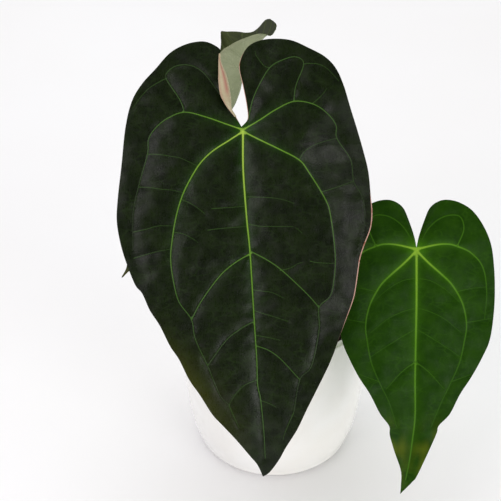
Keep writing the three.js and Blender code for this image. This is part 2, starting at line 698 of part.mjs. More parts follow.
/** A stalk from the crown to a blade: thick where it clasps the crown, with a swollen joint at its top. */
function petiole(path) {
  const curve = throughPoints(path);
  const length = curve.getLength();
  const radiusAt = (t) => {
    const [fromBase, fromTop] = [t * length, (1 - t) * length];
    const clasp = (PETIOLE.base - PETIOLE.radius) * Math.exp(-fromBase / PETIOLE.clasp);
    const inJoint = smooth(PETIOLE.jointLength + PETIOLE.jointLead - fromTop, 0, PETIOLE.jointRise);
    const nose = Math.sqrt(Math.max(PETIOLE.nose, 1 - Math.max(0, 1 - fromTop / PETIOLE.joint) ** 2));
    return (PETIOLE.radius + clasp + (PETIOLE.joint - PETIOLE.radius) * inJoint) * nose;
  };
  return taperedTube(curve, radiusAt, Math.round(length / PETIOLE.step) + PETIOLE.moreSteps, PETIOLE.sides);
}

const STALK_BASE = STEM.crown + LOOSE;
const JOINT = { below: 6, run: 15, gap: BLADE_THICKNESS + 2 * CLEAR };

/** The last stretch of a stalk, square to the back of a blade just below its notch. */
function backOf(seat, up) {
  const point = seat.clone().addScaledVector(up, -JOINT.below);
  const away = point.clone().sub(EYE).normalize();
  return [JOINT.run, JOINT.gap].map((reach) => point.clone().addScaledVector(away, reach).toArray());
}

// Each stalk's place on the crown, and its route from there to the back of its blade
const PETIOLES = [
  {
    crown: [-4.7, -4.8],
    route: [[-6.5, -7, 160], [-12, -4, 200], [-19, 3, 240], ...backOf(LARGE_SEAT, FACE_ON.up)],
  },
  {
    crown: [4.8, -4.7],
    route: [[14, -9, 150], [38, -14, 167], [66, -18, 177], ...backOf(SECOND_SEAT, FACE_ON.up)],
  },
  { crown: [4.8, 4.8], route: [[3, 18, 165], [-12, 41, 200], [-30, 60, 221], [-44.8, 71.4, 235.2]] },
  { crown: [-4.7, 4.7], route: [[-10, 12, 154], [-26, 25, 173], [-46, 36, 180], [-64, 42.4, 192.7]] },
];

/** A stalk's whole path: it leaves the crown upright. */
function stalkPath({ crown: [x, y], route }) {
  return [[x, y, STALK_BASE], [x, y, STALK_BASE + PETIOLE.upright], ...route];
}

// The whole plant in its pot

const plant = new THREE.Group();

function add(name, geometry, material) {
  const mesh = new THREE.Mesh(geometry, material);
  mesh.name = name;
  plant.add(mesh);
}

add("pot", toGeometry(toSolid(pot())), GLAZE);
add("potting_mix", toGeometry(pottingMix()), BARK);
add("stem", toGeometry(rootstock(0)), ROOTSTOCK);
[[262, 36], [22, 30], [178, 33]].forEach(([bearing, height], i) =>
  add(`cataphyll_${i + 1}`, toGeometry(toSolid(cataphyll(bearing, height))), PAPER),
);
PETIOLES.forEach((stalk, i) => {
  add(`petiole_${i + 1}`, toGeometry(toSolid(petiole(stalkPath(stalk)))), STALK);
});
add("blade_1", toGeometry(largeBlade()), DARK_LEAF);
add("blade_2", toGeometry(toSolid(secondBlade())), BRIGHT_LEAF);
add("blade_3", toGeometry(toSolid(youngBlade())), YOUNG_LEAF);
add("blade_4", toGeometry(toSolid(smallBlade())), DARK_LEAF);

export default plant;
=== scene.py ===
"""A potted anthurium hybrid: velvet blades with lime veins, on jointed stalks, in bark mix in a white pot.

Sizes are in millimetres, in the part's own frame: +Z up, -Y the front, the origin under the pot.
"""

from __future__ import annotations

import logging
import math
from collections.abc import Callable
from dataclasses import dataclass, field
from enum import Enum

import bpy
import numpy as np
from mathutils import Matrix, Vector, noise
from mathutils.geometry import delaunay_2d_cdt

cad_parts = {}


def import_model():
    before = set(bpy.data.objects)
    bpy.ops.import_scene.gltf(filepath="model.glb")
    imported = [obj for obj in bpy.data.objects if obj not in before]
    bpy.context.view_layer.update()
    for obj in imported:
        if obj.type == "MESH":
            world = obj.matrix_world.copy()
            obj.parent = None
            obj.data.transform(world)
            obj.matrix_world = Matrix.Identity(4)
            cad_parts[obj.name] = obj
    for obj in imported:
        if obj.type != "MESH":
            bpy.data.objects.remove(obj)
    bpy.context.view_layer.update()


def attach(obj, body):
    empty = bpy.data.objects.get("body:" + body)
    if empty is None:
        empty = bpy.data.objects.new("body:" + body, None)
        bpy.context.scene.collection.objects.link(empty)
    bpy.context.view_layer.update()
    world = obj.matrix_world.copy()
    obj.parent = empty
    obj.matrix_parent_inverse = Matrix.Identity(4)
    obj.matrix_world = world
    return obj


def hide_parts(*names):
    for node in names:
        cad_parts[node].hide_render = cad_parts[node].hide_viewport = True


log = logging.getLogger("anthurium")

MM = 0.001
BODY = "root"

EYE = np.array((-18.4, -689.5, 662.3))
SIGHT = np.array((0.0, 0.8141, -0.5807))
ACROSS = np.array((1.0, 0.0, 0.0))
UPRIGHT = np.array((0.0, 0.5807, 0.8141))

Array = np.ndarray
Material = bpy.types.Material
Piece = bpy.types.Object
Colour = tuple[float, float, float, float]
Flat = tuple[float, float]
Spot = tuple[float, float, float]


class Slot(Enum):
    """The record's material slots."""

    GLAZE = "glaze"
    BARK = "bark"
    ROOTSTOCK = "rootstock"
    DRY_SHEATH = "dry_sheath"
    STALK = "stalk"
    DARK_LEAF = "dark_leaf"
    BRIGHT_LEAF = "bright_leaf"
    YOUNG_LEAF = "young_leaf"


def linear(share: float) -> float:
    """The linear value of a colour channel that is coded for a screen, both 0 to 1."""
    return share / 12.92 if share < 0.04045 else ((share + 0.055) / 1.055) ** 2.4


def srgb(red: int, green: int, blue: int) -> Colour:
    """The linear colour, with full alpha, of a screen's 8-bit red, green and blue."""
    return linear(red / 255), linear(green / 255), linear(blue / 255), 1.0


# Node trees written as expressions


@dataclass(frozen=True)
class Wire:
    """A node's output that can be used in Python expressions; a node that ends a tree has no socket."""

    board: Board
    socket: bpy.types.NodeSocket | None

    def _math(self, operation: str, other: Wire | float, reflected: bool = False) -> Wire:
        """Adds a Math node.

        Args:
            operation: the Math node's operation.
            other: the second value.
            reflected: whether the other value comes first.

        Returns:
            The result.
        """
        pair = (other, self) if reflected else (self, other)
        return self.board.node("ShaderNodeMath", {"operation": operation}, dict(enumerate(pair)))

    def __add__(self, other: Wire | float) -> Wire:
        """The sum."""
        return self._math("ADD", other)

    def __sub__(self, other: Wire | float) -> Wire:
        """The difference."""
        return self._math("SUBTRACT", other)

    def __rsub__(self, other: float) -> Wire:
        """The difference from a number."""
        return self._math("SUBTRACT", other, reflected=True)

    def __mul__(self, other: Wire | float) -> Wire:
        """The product."""
        return self._math("MULTIPLY", other)

    __radd__ = __add__
    __rmul__ = __mul__

    def atop(self, other: Wire | float) -> Wire:
        """The larger of two values."""
        return self._math("MAXIMUM", other)

    def faded(self, start: float, end: float) -> Wire:
        """A smooth step.

        Args:
            start: where the step is 0.
            end: where the step is 1; it may lie below the start.

        Returns:
            The step, 0 to 1.
        """
        rising = start < end
        settings = {"interpolation_type": "SMOOTHSTEP"}
        values = {1: min(start, end), 2: max(start, end), 3: float(not rising), 4: float(rising)}
        return self.board.node("ShaderNodeMapRange", settings, {0: self, **values})


@dataclass
class Board:
    """A node tree under construction."""

    tree: bpy.types.NodeTree

    def node(
        self,
        kind: str,
        settings: dict[str, object] | None = None,
        inputs: dict[int | str, object] | None = None,
        output: int | str = 0,
    ) -> Wire:
        """Adds a node.

        Args:
            kind: the node's type.
            settings: the node's own settings, set first; "stops" are a ramp's positions and colours.
            inputs: values or wires by the inputs' names or numbers; a list goes into one input.
            output: the output to return.

        Returns:
            The output.
        """
        made = self.tree.nodes.new(kind)
        for name, value in (settings or {}).items():
            if name == "stops":
                self._set_stops(made.color_ramp.elements, value)
            else:
                setattr(made, name, value)
        for key, value in (inputs or {}).items():
            for single in value if isinstance(value, list) else [value]:
                if isinstance(single, Wire):
                    self.tree.links.new(single.socket, made.inputs[key])
                else:
                    made.inputs[key].default_value = single
        return Wire(self, made.outputs[output] if made.outputs else None)

    @staticmethod
    def _set_stops(elements: bpy.types.ColorRampElements, stops: list[tuple[float, Colour]]) -> None:
        """Sets a ramp's stops.

        Args:
            elements: the ramp's elements.
            stops: positions and colours, from low to high.
        """
        while len(elements) < len(stops):
            elements.new(1.0)
        for element, (position, colour) in zip(elements, stops):
            element.position = position
            element.color = colour


class ShaderBoard(Board):
    """A material's tree, with the nodes that the finishes share."""

    def __init__(self, name: str) -> None:
        """Args:
        name: the material's name.
        """
        self.material = bpy.data.materials.new(name)
        self.material.use_nodes = True
        super().__init__(self.material.node_tree)
        self.tree.nodes.clear()

    def object_place(self) -> Wire:
        """The place on the object, in metres."""
        return self.node("ShaderNodeTexCoord", output="Object")

    def attribute(self, name: str, output: str = "Fac") -> Wire:
        """A named value of the mesh."""
        return self.node("ShaderNodeAttribute", {"attribute_name": name}, output=output)

    def stretched(self, place: Wire, scale: Spot) -> Wire:
        """Places multiplied by a scale for each axis."""
        return self.node("ShaderNodeVectorMath", {"operation": "MULTIPLY"}, {0: place, 1: scale})

    def cloudy(self, place: Wire, scale: float, detail: float = 3.0, rough: float = 0.55) -> Wire:
        """Noise, 0 to 1.

        Args:
            place: where it is read.
            scale: how fine it is.
            detail: its octaves.
            rough: the share of each finer octave.

        Returns:
            The noise.
        """
        values = {"Vector": place, "Scale": scale, "Detail": detail, "Roughness": rough}
        return self.node("ShaderNodeTexNoise", inputs=values)

    def cell_edges(self, place: Wire, scale: float) -> Wire:
        """Distances to the borders of irregular cells."""
        values = {"Vector": place, "Scale": scale}
        return self.node("ShaderNodeTexVoronoi", {"feature": "DISTANCE_TO_EDGE"}, values)

    def blend(self, share: Wire | float, first: object, second: object) -> Wire:
        """A mix of two colours.

        Args:
            share: how much of the second one.
            first: the first colour.
            second: the second colour.

        Returns:
            The mixed colour.
        """
        return self.node("ShaderNodeMix", {"data_type": "RGBA"}, {0: share, 6: first, 7: second}, 2)

    def warped(self, place: Wire, scale: float, amount: float) -> Wire:
        """Places pushed about by noise.

        Args:
            place: the places.
            scale: how fine the noise is.
            amount: how far it pushes.

        Returns:
            The pushed places.
        """
        swirl = self.node("ShaderNodeTexNoise", inputs={"Vector": place, "Scale": scale}, output="Color")
        centred = self.node("ShaderNodeVectorMath", {"operation": "SUBTRACT"}, {0: swirl, 1: (0.5, 0.5, 0.5)})
        push = self.node("ShaderNodeVectorMath", {"operation": "SCALE"}, {0: centred, "Scale": amount})
        return self.node("ShaderNodeVectorMath", {"operation": "ADD"}, {0: place, 1: push})

    def relief(self, height: Wire, strength: float = 1.0) -> Wire:
        """A normal from a height in millimetres."""
        return self.node("ShaderNodeBump", inputs={"Strength": strength, "Distance": MM, "Height": height})

    def finished(self, **inputs: object) -> Material:
        """Ends the tree in a Principled shader.

        Args:
            **inputs: its inputs, with underscores for the spaces in their names.

        Returns:
            The material.
        """
        values = {key.replace("_", " "): value for key, value in inputs.items()}
        shader = self.node("ShaderNodeBsdfPrincipled", inputs=values)
        self.node("ShaderNodeOutputMaterial", inputs={"Surface": shader})
        return self.material


class GeometryBoard(Board):
    """A Geometry Nodes tree with named inputs."""

    def __init__(self, name: str, inputs: dict[str, str]) -> None:
        """Args:
        name: the tree's name.
        inputs: the kinds of the sockets, by their names; the geometry comes before them.
        """
        super().__init__(bpy.data.node_groups.new(name, "GeometryNodeTree"))
        face = self.tree.interface
        face.new_socket(name="Geometry", in_out="INPUT", socket_type="NodeSocketGeometry")
        face.new_socket(name="Geometry", in_out="OUTPUT", socket_type="NodeSocketGeometry")
        self.identifiers = {}
        for title, kind in inputs.items():
            socket = face.new_socket(name=title, in_out="INPUT", socket_type=kind)
            self.identifiers[title] = socket.identifier
        self.group_input = self.tree.nodes.new("NodeGroupInput")

    def given(self, title: str) -> Wire:
        """The named input."""
        return Wire(self, self.group_input.outputs[title])

    def named(self, title: str, data_type: str = "FLOAT") -> Wire:
        """A value that the points carry."""
        return self.node("GeometryNodeInputNamedAttribute", {"data_type": data_type}, {"Name": title})

    def end(self, geometry: Wire, finish: Wire) -> None:
        """Ends the tree: instances become real, and the finish is set.

        Args:
            geometry: the result.
            finish: the material.
        """
        real = self.node("GeometryNodeRealizeInstances", inputs={"Geometry": geometry})
        dressed = self.node("GeometryNodeSetMaterial", inputs={"Geometry": real, "Material": finish})
        out = self.tree.nodes.new("NodeGroupOutput")
        self.tree.links.new(dressed.socket, out.inputs["Geometry"])

    def grow(self, piece: Piece, **values: object) -> Piece:
        """Runs the tree on an object and keeps the result as its plain mesh.

        Args:
            piece: the object with the points or lines.
            **values: the inputs, with underscores for the spaces in their names.

        Returns:
            The same object.
        """
        modifier = piece.modifiers.new(self.tree.name, "NODES")
        modifier.node_group = self.tree
        for key, value in values.items():
            modifier[self.identifiers[key.replace("_", " ")]] = value
        graph = bpy.context.evaluated_depsgraph_get()
        grown = piece.evaluated_get(graph)
        mesh = bpy.data.meshes.new_from_object(grown, preserve_all_data_layers=True, depsgraph=graph)
        piece.modifiers.clear()
        lines = piece.data
        piece.data = mesh
        bpy.data.meshes.remove(lines)
        mesh.name = piece.name
        return piece


# Lines, nets and meshes


FINE_STEPS = 16
SHORTEST = 1e-6
TINY = 1e-12
SHARP_ANGLE = math.radians(50)
SHARP_LUMP_ANGLE = math.radians(38)
LUMP_SEED = 1


def spline_at(knots: Array, at: Array, centripetal: bool = False) -> Array:
    """Points of a smooth curve.

    Args:
        knots: the points that it runs through, one a row.
        at: positions, counted in knots.
        centripetal: whether its speed follows the roots of the distances.

    Returns:
        The points, one a row.
    """
    padded = np.concatenate([2 * knots[:1] - knots[1:2], knots, 2 * knots[-1:] - knots[-2:-1]])
    first = np.clip(np.floor(at).astype(int), 0, len(knots) - 2)
    t = (at - first)[:, None]
    before, start, end, after = (padded[first + step] for step in range(4))
    legs = [np.ones((len(at), 1))] * 3
    if centripetal:
        pairs = ((before, start), (start, end), (end, after))
        gaps = [np.linalg.norm(b - a, axis=1, keepdims=True) for a, b in pairs]
        legs = [np.maximum(gap, SHORTEST) ** 0.5 for gap in gaps]
    first_leg, leg, last_leg = legs
    pace = (end - start) / leg
    leave = ((start - before) / first_leg - (end - before) / (first_leg + leg) + pace) * leg
    arrive = (pace - (after - start) / (leg + last_leg) + (after - end) / last_leg) * leg
    ends = (2 * t**3 - 3 * t**2 + 1) * start + (3 * t**2 - 2 * t**3) * end
    return ends + (t**3 - 2 * t**2 + t) * leave + (t**3 - t**2) * arrive


def smooth_line(knots: list, step: float, centripetal: bool = False) -> Array:
    """A smooth curve cut into even steps.

    Args:
        knots: the points that it runs through.
        step: about how long each step is.
        centripetal: whether its speed follows the roots of the distances.

    Returns:
        The points, one a row.
    """
    through = np.array(knots, float)
    last = len(through) - 1
    fine = spline_at(through, np.linspace(0, last, FINE_STEPS * last + 1), centripetal)
    run = np.concatenate([[0], np.cumsum(np.linalg.norm(np.diff(fine, axis=0), axis=1))])
    at = np.linspace(0, run[-1], max(1, round(run[-1] / step)) + 1)
    return np.column_stack([np.interp(at, run, fine[:, axis]) for axis in range(fine.shape[1])])


def run_shares(line: Array) -> Array:
    """How far along its length each point of a line is, 0 to 1."""
    run = np.concatenate([[0], np.cumsum(np.linalg.norm(np.diff(line, axis=0), axis=1))])
    return run / run[-1]


def nearest_on(line: Array, points: Array) -> tuple[Array, Array]:
    """The nearest place on a line for each point.

    Args:
        line: the line's points.
        points: the points.

    Returns:
        The distances, and how far along the line the nearest places are, 0 to 1.
    """
    start, leg = line[:-1], np.diff(line, axis=0)
    squares = np.maximum((leg**2).sum(1), TINY)
    away = points[:, None, :] - start[None]
    share = np.clip((away * leg[None]).sum(2) / squares[None], 0, 1)
    gaps = np.linalg.norm(away - share[..., None] * leg[None], axis=2)
    best = gaps.argmin(1)
    rows = np.arange(len(points))
    marks = run_shares(line)
    at = marks[best] + share[rows, best] * (marks[best + 1] - marks[best])
    return gaps[rows, best], at


def is_inside(outline: Array, points: Array) -> Array:
    """Whether each flat point is inside a closed outline.

    Args:
        outline: the outline's points.
        points: the points.

    Returns:
        True for each point inside.
    """
    inside = np.zeros(len(points), bool)
    x, y = points[:, 0], points[:, 1]
    for (ax, ay), (bx, by) in zip(outline, np.roll(outline, -1, axis=0)):
        if ay == by:
            continue
        crosses = ((ay > y) != (by > y)) & (x < ax + (y - ay) * (bx - ax) / (by - ay))
        inside ^= crosses
    return inside


def vertex_normals(points: Array, triangles: Array) -> Array:
    """The mean normal at each point.

    Args:
        points: the points.
        triangles: the triangles' corners.

    Returns:
        Unit normals.
    """
    a, b, c = (points[triangles[:, corner]] for corner in range(3))
    facing = np.cross(b - a, c - a)
    total = np.zeros_like(points)
    for corner in range(3):
        np.add.at(total, triangles[:, corner], facing)
    return total / np.maximum(np.linalg.norm(total, axis=1, keepdims=True), TINY)


def net_triangles(rows: int, columns: int, wrapped: bool = False) -> Array:
    """The triangles of a net of points.

    Args:
        rows: the points along.
        columns: the points across.
        wrapped: whether each row closes on itself.

    Returns:
        The triangles' corners.
    """
    across = columns if wrapped else columns - 1
    i, j = np.meshgrid(np.arange(rows - 1), np.arange(across), indexing="ij")
    a = (i * columns + j).ravel()
    b = (i * columns + (j + 1) % columns).ravel()
    return np.concatenate([np.stack([a, b, b + columns], 1), np.stack([a, b + columns, a + columns], 1)])


@dataclass
class Sheet:
    """A surface ready to be a mesh: its points, what they carry, and the number of each face's finish."""

    points: Array
    triangles: Array
    flat: Array
    values: dict[str, Array]
    sides: Array


@dataclass
class Skin:
    """An open surface with what its points carry, which becomes a thin closed sheet."""

    points: Array
    triangles: Array
    flat: Array
    values: dict[str, Array]
    thickness: Array

    def closed(self) -> Sheet:
        """The skin, its back, and a strip round its rim.

        Returns:
            A sheet with no border. Its sides are 0 on the front, 1 on the back and 2 on the strip.
        """
        count = len(self.points)
        back = self.points - vertex_normals(self.points, self.triangles) * self.thickness[:, None]
        edges = np.concatenate([self.triangles[:, pair] for pair in ([0, 1], [1, 2], [2, 0])])
        rim = edges[~np.isin(edges[:, 0] * count + edges[:, 1], edges[:, 1] * count + edges[:, 0])]
        a, b = rim[:, 0], rim[:, 1]
        strip = np.concatenate([np.stack([a, a + count, b + count], 1), np.stack([a, b + count, b], 1)])
        faces = np.concatenate([self.triangles, self.triangles[:, [0, 2, 1]] + count, strip])
        sides = np.repeat([0, 1, 2], [len(self.triangles), len(self.triangles), len(strip)])
        doubled = {name: np.tile(value, 2) for name, value in self.values.items()}
        return Sheet(np.vstack([self.points, back]), faces, np.tile(self.flat, (2, 1)), doubled, sides)


def mark_points(mesh: bpy.types.Mesh, title: str, values: Array) -> None:
    """Gives a mesh's points a named value.

    Args:
        mesh: the mesh.
        title: the value's name.
        values: the values, in rows if each is a vector.
    """
    kind, field_name = ("FLOAT_VECTOR", "vector") if values.ndim > 1 else ("FLOAT", "value")
    marks = mesh.attributes.new(title, kind, "POINT")
    marks.data.foreach_set(field_name, values.astype(np.float32).ravel())


def placed_object(mesh: bpy.types.Mesh) -> Piece:
    """Puts a mesh in the scene.

    Args:
        mesh: the mesh.

    Returns:
        An object at the origin, with the mesh's name.
    """
    piece = bpy.data.objects.new(mesh.name, mesh)
    bpy.context.scene.collection.objects.link(piece)
    return piece


def mesh_piece(name: str, sheet: Sheet, finishes: list[Material]) -> Piece:
    """An object from a sheet.

    Args:
        name: the piece's name.
        sheet: the sheet.
        finishes: the finishes that its faces' numbers mean; the last one also stands for higher numbers.

    Returns:
        The object, in metres.
    """
    mesh = bpy.data.meshes.new(name)
    mesh.from_pydata((sheet.points * MM).tolist(), [], sheet.triangles.tolist())
    for finish in finishes:
        mesh.materials.append(finish)
    kinds = np.minimum(sheet.sides, len(finishes) - 1).astype(np.int32)
    mesh.polygons.foreach_set("material_index", kinds)
    corners = np.empty(len(mesh.loops), np.int32)
    mesh.loops.foreach_get("vertex_index", corners)
    mesh.uv_layers.new(name="flat").data.foreach_set("uv", sheet.flat[corners].astype(np.float32).ravel())
    for title, value in sheet.values.items():
        mark_points(mesh, title, value)
    mesh.shade_smooth()
    mesh.set_sharp_from_angle(angle=SHARP_ANGLE)
    mesh.validate()
    return placed_object(mesh)


def line_piece(name: str, lines: list[Array], values: dict[str, list[Array]]) -> Piece:
    """An object of open lines that a Geometry Nodes tree turns into tubes.

    Args:
        name: the piece's name.
        lines: the lines' points.
        values: what the points carry, an array for each line.

    Returns:
        The object, in metres.
    """
    mesh = bpy.data.meshes.new(name)
    starts = np.cumsum([0] + [len(line) for line in lines[:-1]])
    edges = [(start + i, start + i + 1) for line, start in zip(lines, starts) for i in range(len(line) - 1)]
    mesh.from_pydata((np.vstack(lines) * MM).tolist(), edges, [])
    for title, parts in values.items():
        mark_points(mesh, title, np.concatenate(parts))
    return placed_object(mesh)


def hand_over(piece: Piece, slot: Slot, *nodes: str) -> None:
    """Puts a finished piece in the frame.

    Args:
        piece: the piece.
        slot: not used.
        *nodes: the plain solids that it stands for.
    """
    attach(piece, BODY)
    if nodes:
        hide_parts(*nodes)
    log.info("%s: %d faces", piece.name, len(piece.data.polygons))


# Finishes


@dataclass(frozen=True)
class LeafPalette:
    """The colours of a blade's upper face."""

    deep: Colour
    flesh: Colour
    net: Colour
    halo: Colour
    # The colour of yellowed places, and on the young blade the colour of its painted shade.
    aged: Colour
    rim: Colour
    veins: tuple[Colour, Colour, Colour, Colour]
    kink: Colour = srgb(150, 88, 64)
    roughness: float = 0.33
    shine: float = 0.22
    wax: float = 0.06


DARK_PALETTE = LeafPalette(
    deep=srgb(13, 21, 5),
    flesh=srgb(23, 34, 9),
    net=srgb(34, 52, 17),
    halo=srgb(34, 74, 6),
    aged=srgb(78, 78, 8),
    rim=srgb(198, 156, 140),
    # The two lowest vein colours are taken by the thin veins and the faded ends of the large ones. They are
    # green greyed with a little blue: partly their own colour, partly a painted sheen.
    veins=(srgb(34, 50, 20), srgb(56, 88, 32), srgb(94, 136, 36), srgb(164, 192, 72)),
)

BRIGHT_PALETTE = LeafPalette(
    deep=srgb(22, 51, 2),
    flesh=srgb(31, 62, 4),
    net=srgb(42, 78, 9),
    halo=srgb(62, 112, 12),
    aged=srgb(96, 104, 14),
    rim=srgb(92, 104, 34),
    veins=(srgb(34, 68, 7), srgb(52, 92, 13), srgb(78, 122, 26), srgb(126, 164, 46)),
    roughness=0.42,
    shine=0.045,
    wax=0.07,
)

# The young blade's face is painted a light olive, far lighter than the other blades' green: partly its own
# colour, partly painted light shining through the blade.
YOUNG_PAINTED_BACKLIGHT_PALETTE = LeafPalette(
    deep=srgb(40, 48, 12),
    flesh=srgb(58, 68, 22),
    net=srgb(74, 86, 40),
    halo=srgb(78, 92, 40),
    # A darker grey: painted shade at the young blade's tip.
    aged=srgb(52, 56, 44),
    rim=srgb(120, 110, 84),
    veins=(srgb(64, 76, 32), srgb(74, 88, 40), srgb(84, 98, 48), srgb(110, 122, 66)),
    roughness=0.55,
    shine=0.2,
    wax=0.0,
)


@dataclass(frozen=True)
class LeafFace:
    """A blade's upper face: lime veins in quilted, satin, finely netted green."""

    name: str
    palette: LeafPalette

    def material(self) -> Material:
        """Builds the finish.

        Returns:
            The material.
        """
        board = ShaderBoard(self.name)
        palette = self.palette
        flat = board.node("ShaderNodeUVMap", {"uv_map": "flat"})
        rib, glow = board.attribute("rib"), board.attribute("glow")
        thread, thread_glow = board.attribute("thread"), board.attribute("thread_glow")
        rib_mask = rib.faded(1.7, 0.3)
        thread_mask = thread.faded(1.6, 0.4)
        brushed = board.cloudy(board.stretched(flat, (70.0, 16.0, 1.0)), 1.0, 4.0, 0.6)
        speckle = board.cloudy(board.stretched(flat, (150.0, 70.0, 1.0)), 1.0, 2.0, 0.7)

        wandering = board.warped(board.stretched(flat, (10.0, 21.0, 1.0)), 0.9, 0.9)
        net_gap = board.cell_edges(wandering, 1.0)
        net = net_gap.faded(0.09, 0.015) * board.cloudy(flat, 7.0).faded(0.42, 0.62)
        fine_gap = board.cell_edges(board.warped(flat, 30.0, 0.02), 75.0)
        mottle = board.cloudy(flat, 9.0, 5.0, 0.6)

        body = board.blend(mottle.faded(0.3, 0.72), palette.deep, palette.flesh)
        body = board.blend(net * 0.3, body, palette.net)
        # Yellowed margins and blotches, and on the young blade the painted shade at its tip.
        body = board.blend(board.attribute("aged"), body, palette.aged)
        body = board.blend(board.attribute("halo"), body, palette.halo)
        stops = list(zip((0.0, 0.3, 0.65, 1.0), palette.veins))
        vein = board.node("ShaderNodeValToRGB", {"stops": stops}, {0: glow})
        # On the dark blade, the thin veins' colours carry a painted sheen from the palette's lowest vein
        # colours.
        thin = board.node("ShaderNodeValToRGB", {"stops": stops}, {0: thread_glow})
        body = board.blend(thread_mask * thread_glow.faded(0.0, 0.25), body, thin)
        body = board.blend(rib_mask * glow.faded(-0.25, 0.3), body, vein)
        uneven = board.cloudy(flat, 16.0, 3.0)
        blush = board.attribute("blush")
        band = blush * (0.22 + uneven * 0.6)
        pink = (board.attribute("margin") - band).faded(0.12, -0.12) * blush.faded(0.0, 0.5)
        body = board.blend(pink * 0.9, body, board.blend(uneven.faded(0.54, 0.7), palette.rim, palette.kink))

        height = rib_mask * 0.1 + thread_mask * 0.04 - net_gap.faded(0.14, 0.0) * 0.02
        height = height - fine_gap.faded(0.2, 0.0) * 0.01 + brushed * 0.07 + speckle * 0.06
        rough = palette.roughness + (board.cloudy(flat, 14.0, 5.0, 0.65) - 0.5) * 0.2
        waxed = board.cloudy(board.stretched(flat, (16.0, 7.0, 1.0)), 1.0, 6.0, 0.7).faded(0.46, 0.72)
        return board.finished(
            Base_Color=body,
            Roughness=rough + (brushed - 0.5) * 0.35 + (speckle - 0.5) * 0.5,
            Normal=board.relief(height, 0.8),
            Specular_IOR_Level=palette.shine,
            Coat_Weight=waxed * palette.wax,
            Coat_Roughness=0.35,
        )


@dataclass(frozen=True)
class LeafBack:
    """A blade's underside: pale, matt, with veins that stand out, and flushed towards the margin."""

    name: str
    pale: Colour
    deep: Colour
    flush: Colour
    vein: Colour = srgb(176, 190, 150)
    ribbed: float = 0.75
    edged: float = 0.0

    def material(self) -> Material:
        """Builds the finish.

        Returns:
            The material.
        """
        board = ShaderBoard(self.name)
        flat = board.node("ShaderNodeUVMap", {"uv_map": "flat"})
        mottle = board.cloudy(flat, 8.0, 5.0, 0.6)
        body = board.blend(mottle.faded(0.25, 0.75), self.deep, self.pale)
        rib_mask = board.attribute("rib").faded(2.4, 0.8)
        thread_mask = board.attribute("thread").faded(2.4, 0.6)
        body = board.blend((rib_mask * self.ribbed).atop(thread_mask * self.ribbed * 0.5), body, self.vein)
        margin = board.attribute("margin")
        body = board.blend(board.attribute("blush") * margin.faded(9.0, 0.0), body, self.flush)
        body = board.blend(margin.faded(0.6, 0.2) * self.edged, body, self.flush)
        net_gap = board.cell_edges(board.warped(board.stretched(flat, (10.0, 21.0, 1.0)), 0.9, 0.9), 1.0)
        height = net_gap.faded(0.16, 0.0) * 0.12 + thread_mask * 0.2 + board.cloudy(flat, 30.0) * 0.1
        return board.finished(
            Base_Color=body, Roughness=0.5 + (mottle - 0.5) * 0.2, Normal=board.relief(height)
        )


@dataclass(frozen=True)
class StalkSkin:
    """A stalk: green with fine streaks and pale specks, yellower at its joint, browner at its foot."""

    name: str
    green: Colour
    streak: Colour
    joint: Colour
    foot: Colour

    def material(self) -> Material:
        """Builds the finish.

        Returns:
            The material.
        """
        board = ShaderBoard(self.name)
        place = board.object_place()
        around = board.attribute("around")
        along = board.attribute("along")
        unrolled = board.node("ShaderNodeCombineXYZ", inputs={0: around * 14.0, 1: along * 5.0})
        streaks = board.cloudy(unrolled, 2.2, 4.0, 0.6)
        body = board.blend(streaks.faded(0.4, 0.7), self.green, self.streak)
        specks = board.node("ShaderNodeTexVoronoi", inputs={"Vector": place, "Scale": 420.0})
        body = board.blend(specks.faded(0.28, 0.16) * 0.35, body, self.joint)
        body = board.blend(board.attribute("joint") * 0.8, body, self.joint)
        body = board.blend(board.attribute("foot") * 0.75, body, self.foot)
        height = streaks * 0.12 + board.cloudy(place, 900.0) * 0.05
        return board.finished(Base_Color=body, Roughness=0.36 + streaks * 0.14, Normal=board.relief(height))


@dataclass(frozen=True)
class Glaze:
    """White glossy glaze over the whole pot but for its bare foot."""

    name: str
    white: Colour = srgb(243, 243, 241)
    warm: Colour = srgb(236, 234, 229)
    bisque: Colour = srgb(206, 186, 160)

    def material(self) -> Material:
        """Builds the finish.

        Returns:
            The material.
        """
        board = ShaderBoard(self.name)
        place = board.object_place()
        height = board.node("ShaderNodeSeparateXYZ", inputs={0: place}, output="Z")
        body = board.blend(board.cloudy(place, 14.0).faded(0.3, 0.7), self.white, self.warm)
        bare = height.faded(0.7 * MM, 0.2 * MM)
        pits = board.node("ShaderNodeTexVoronoi", inputs={"Vector": place, "Scale": 260.0}).faded(0.05, 0.02)
        body = board.blend(bare, body, self.bisque)
        body = board.blend(pits * 0.25, body, self.bisque)
        wave = board.cloudy(place, 55.0, 2.0) * 0.18 + board.cloudy(place, 700.0) * 0.012
        rough = 0.13 + board.cloudy(place, 22.0) * 0.07 + bare * 0.6
        return board.finished(
            Base_Color=body,
            Roughness=rough,
            Normal=board.relief(wave - pits * 0.1),
            Coat_Weight=0.3,
            Coat_Roughness=0.05,
        )


